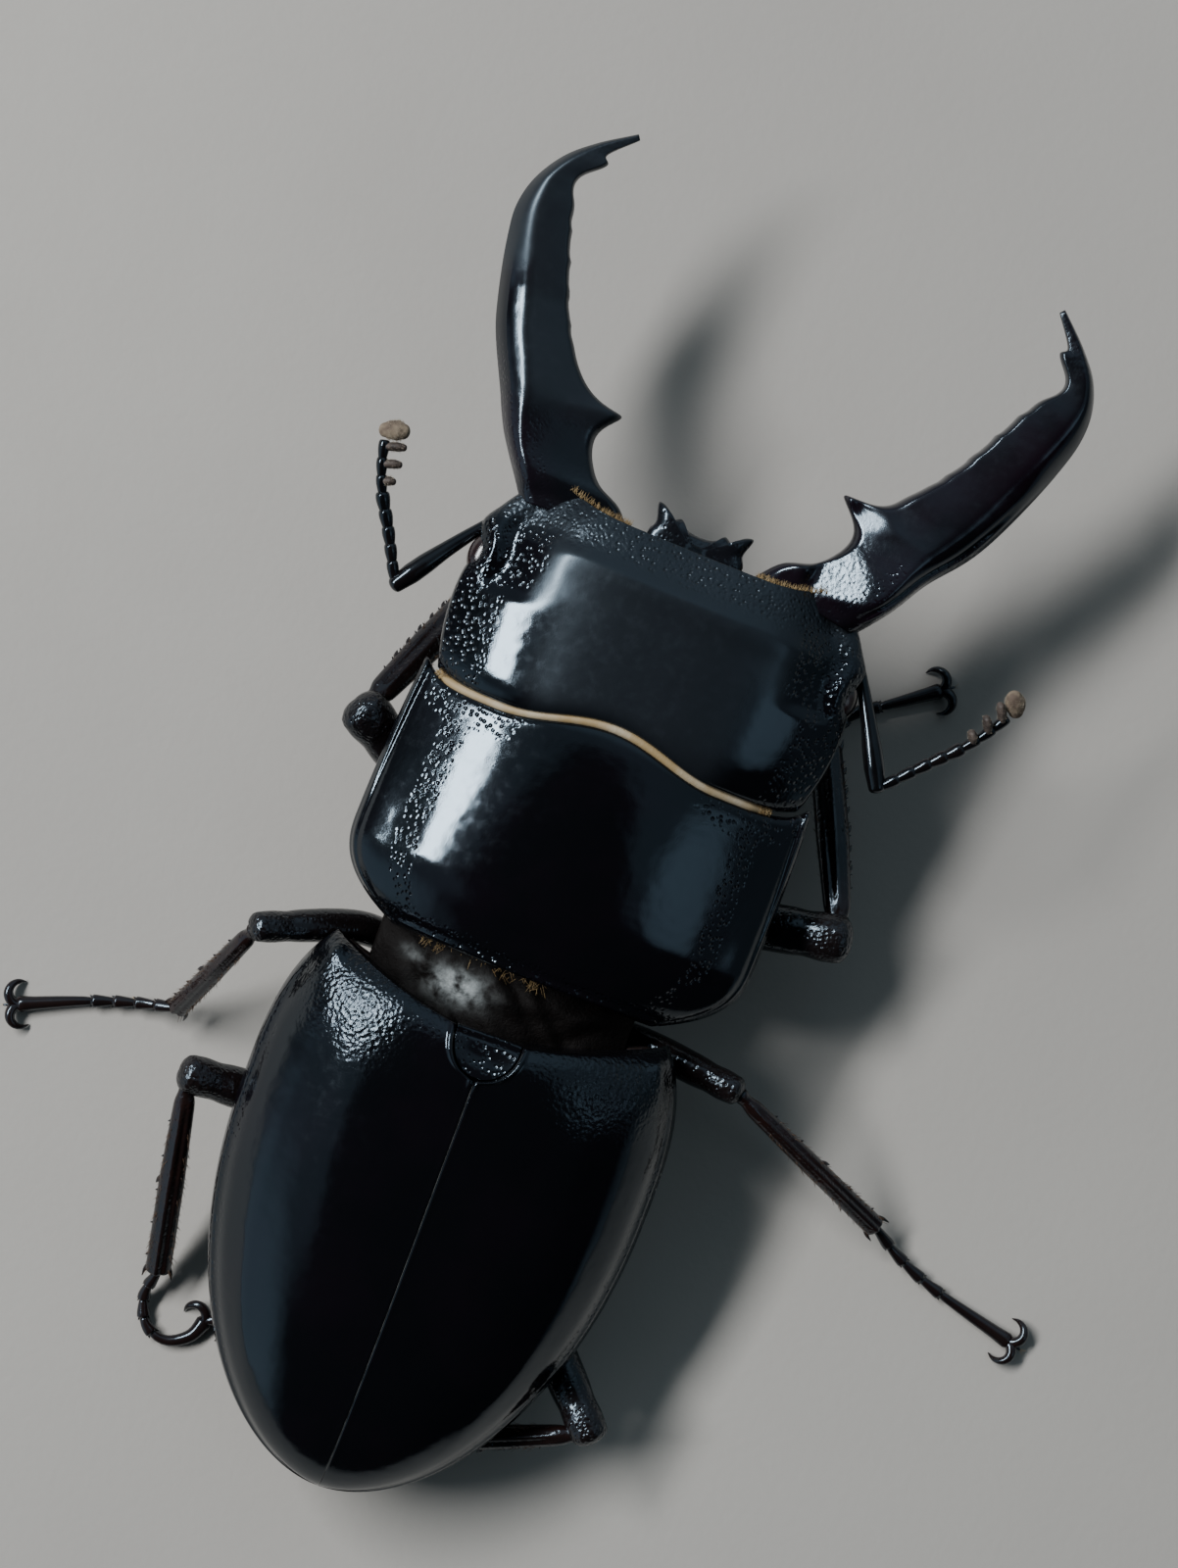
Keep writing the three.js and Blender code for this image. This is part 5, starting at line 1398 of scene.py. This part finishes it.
def add_camera():
    roll, heading = math.radians(VIEW["roll"]), math.radians(VIEW["heading"])
    back = np.array([-math.sin(roll), 0, math.cos(roll)])
    forward = unit(np.array([0, 1.0, 0]) - back[1] * back)
    across = np.cross(forward, back)
    right = math.sin(heading) * across + math.cos(heading) * forward
    up = -math.cos(heading) * across + math.sin(heading) * forward
    place = to_row(np.array(VIEW["target"]) + VIEW["distance"] * back)[0]
    data = bpy.data.cameras.new("camera")
    data.lens = VIEW["lens"]
    data.sensor_width = 36
    data.clip_start, data.clip_end = 0.01, 10
    camera = put("camera", data)
    camera.matrix_world = Matrix([[right[k], up[k], back[k], place[k]] for k in range(3)] + [[0, 0, 0, 1]])
    bpy.context.scene.camera = camera


def add_floor():
    n = Nodes("floor")
    colour = n.mix(n.ramp(n.noise(0.01, 4.0), 0.3, 0.7), (0.335, 0.31, 0.285), (0.375, 0.35, 0.32))
    n.finish(colour, n.ramp(n.noise(0.2), 0.3, 0.7, 0.75, 0.85), n.bump(n.noise(1.5, 4.0), 0.02))
    mesh = bpy.data.meshes.new("floor")
    corners = [(FLOOR_HALF * x, FLOOR_HALF * y, 0) for x, y in ((-1, -1), (1, -1), (1, 1), (-1, 1))]
    mesh.from_pydata(corners, [], [(0, 1, 2, 3)])
    mesh.materials.append(n.material)
    put("floor", mesh)


def sky_way(azimuth, elevation):
    """The direction of a place in the sky. Azimuth 0 is ahead of the beetle and 90 on its right."""
    a, e = math.radians(azimuth), math.radians(elevation)
    return math.sin(a) * math.cos(e), math.cos(a) * math.cos(e), math.sin(e)


def add_light(name, azimuth, elevation, distance, size, power, colour):
    """A soft box, aimed at the beetle."""
    way = Vector(sky_way(azimuth, elevation))
    data = bpy.data.lights.new(name, "AREA")
    data.shape = "RECTANGLE"
    data.size, data.size_y = size
    data.energy = power
    data.color = colour
    light = put(name, data)
    light.location = way * distance + Vector((0, 0, 0.012))
    light.rotation_mode = "QUATERNION"
    light.rotation_quaternion = way.to_track_quat("Z", "Y")


def add_world():
    """A soft studio sky: one grey all round, with lighter and darker soft panels in it."""
    world = bpy.data.worlds.new("world")
    bpy.context.scene.world = world
    world.use_nodes = True
    tree = world.node_tree
    way = tree.nodes.new("ShaderNodeTexCoord").outputs["Generated"]
    total = None
    for azimuth, elevation, edge, core, strength in SKY:
        dot = tree.nodes.new("ShaderNodeVectorMath")
        dot.operation = "DOT_PRODUCT"
        dot.inputs[1].default_value = sky_way(azimuth, elevation)
        tree.links.new(way, dot.inputs[0])
        panel = tree.nodes.new("ShaderNodeMapRange")
        panel.interpolation_type = "SMOOTHSTEP"
        limits = (math.cos(math.radians(edge)), math.cos(math.radians(core)), 0, strength)
        for socket, number in zip(panel.inputs[1:5], limits):
            socket.default_value = number
        tree.links.new(dot.outputs["Value"], panel.inputs[0])
        add = tree.nodes.new("ShaderNodeMath")
        add.inputs[0].default_value = SKY_GREY
        if total is not None:
            tree.links.new(total, add.inputs[0])
        tree.links.new(panel.outputs[0], add.inputs[1])
        total = add.outputs[0]
    least = tree.nodes.new("ShaderNodeMath")
    least.operation = "MAXIMUM"
    least.inputs[0].default_value = SKY_DARKEST
    tree.links.new(total, least.inputs[1])
    background = tree.nodes["Background"]
    background.inputs["Color"].default_value = SKY_COLOUR
    tree.links.new(least.outputs[0], background.inputs["Strength"])


add_camera()
add_floor()
add_world()
add_light("window", -80, 46, 0.6, (0.44, 0.09), 6.2, (0.95, 0.98, 1.0))
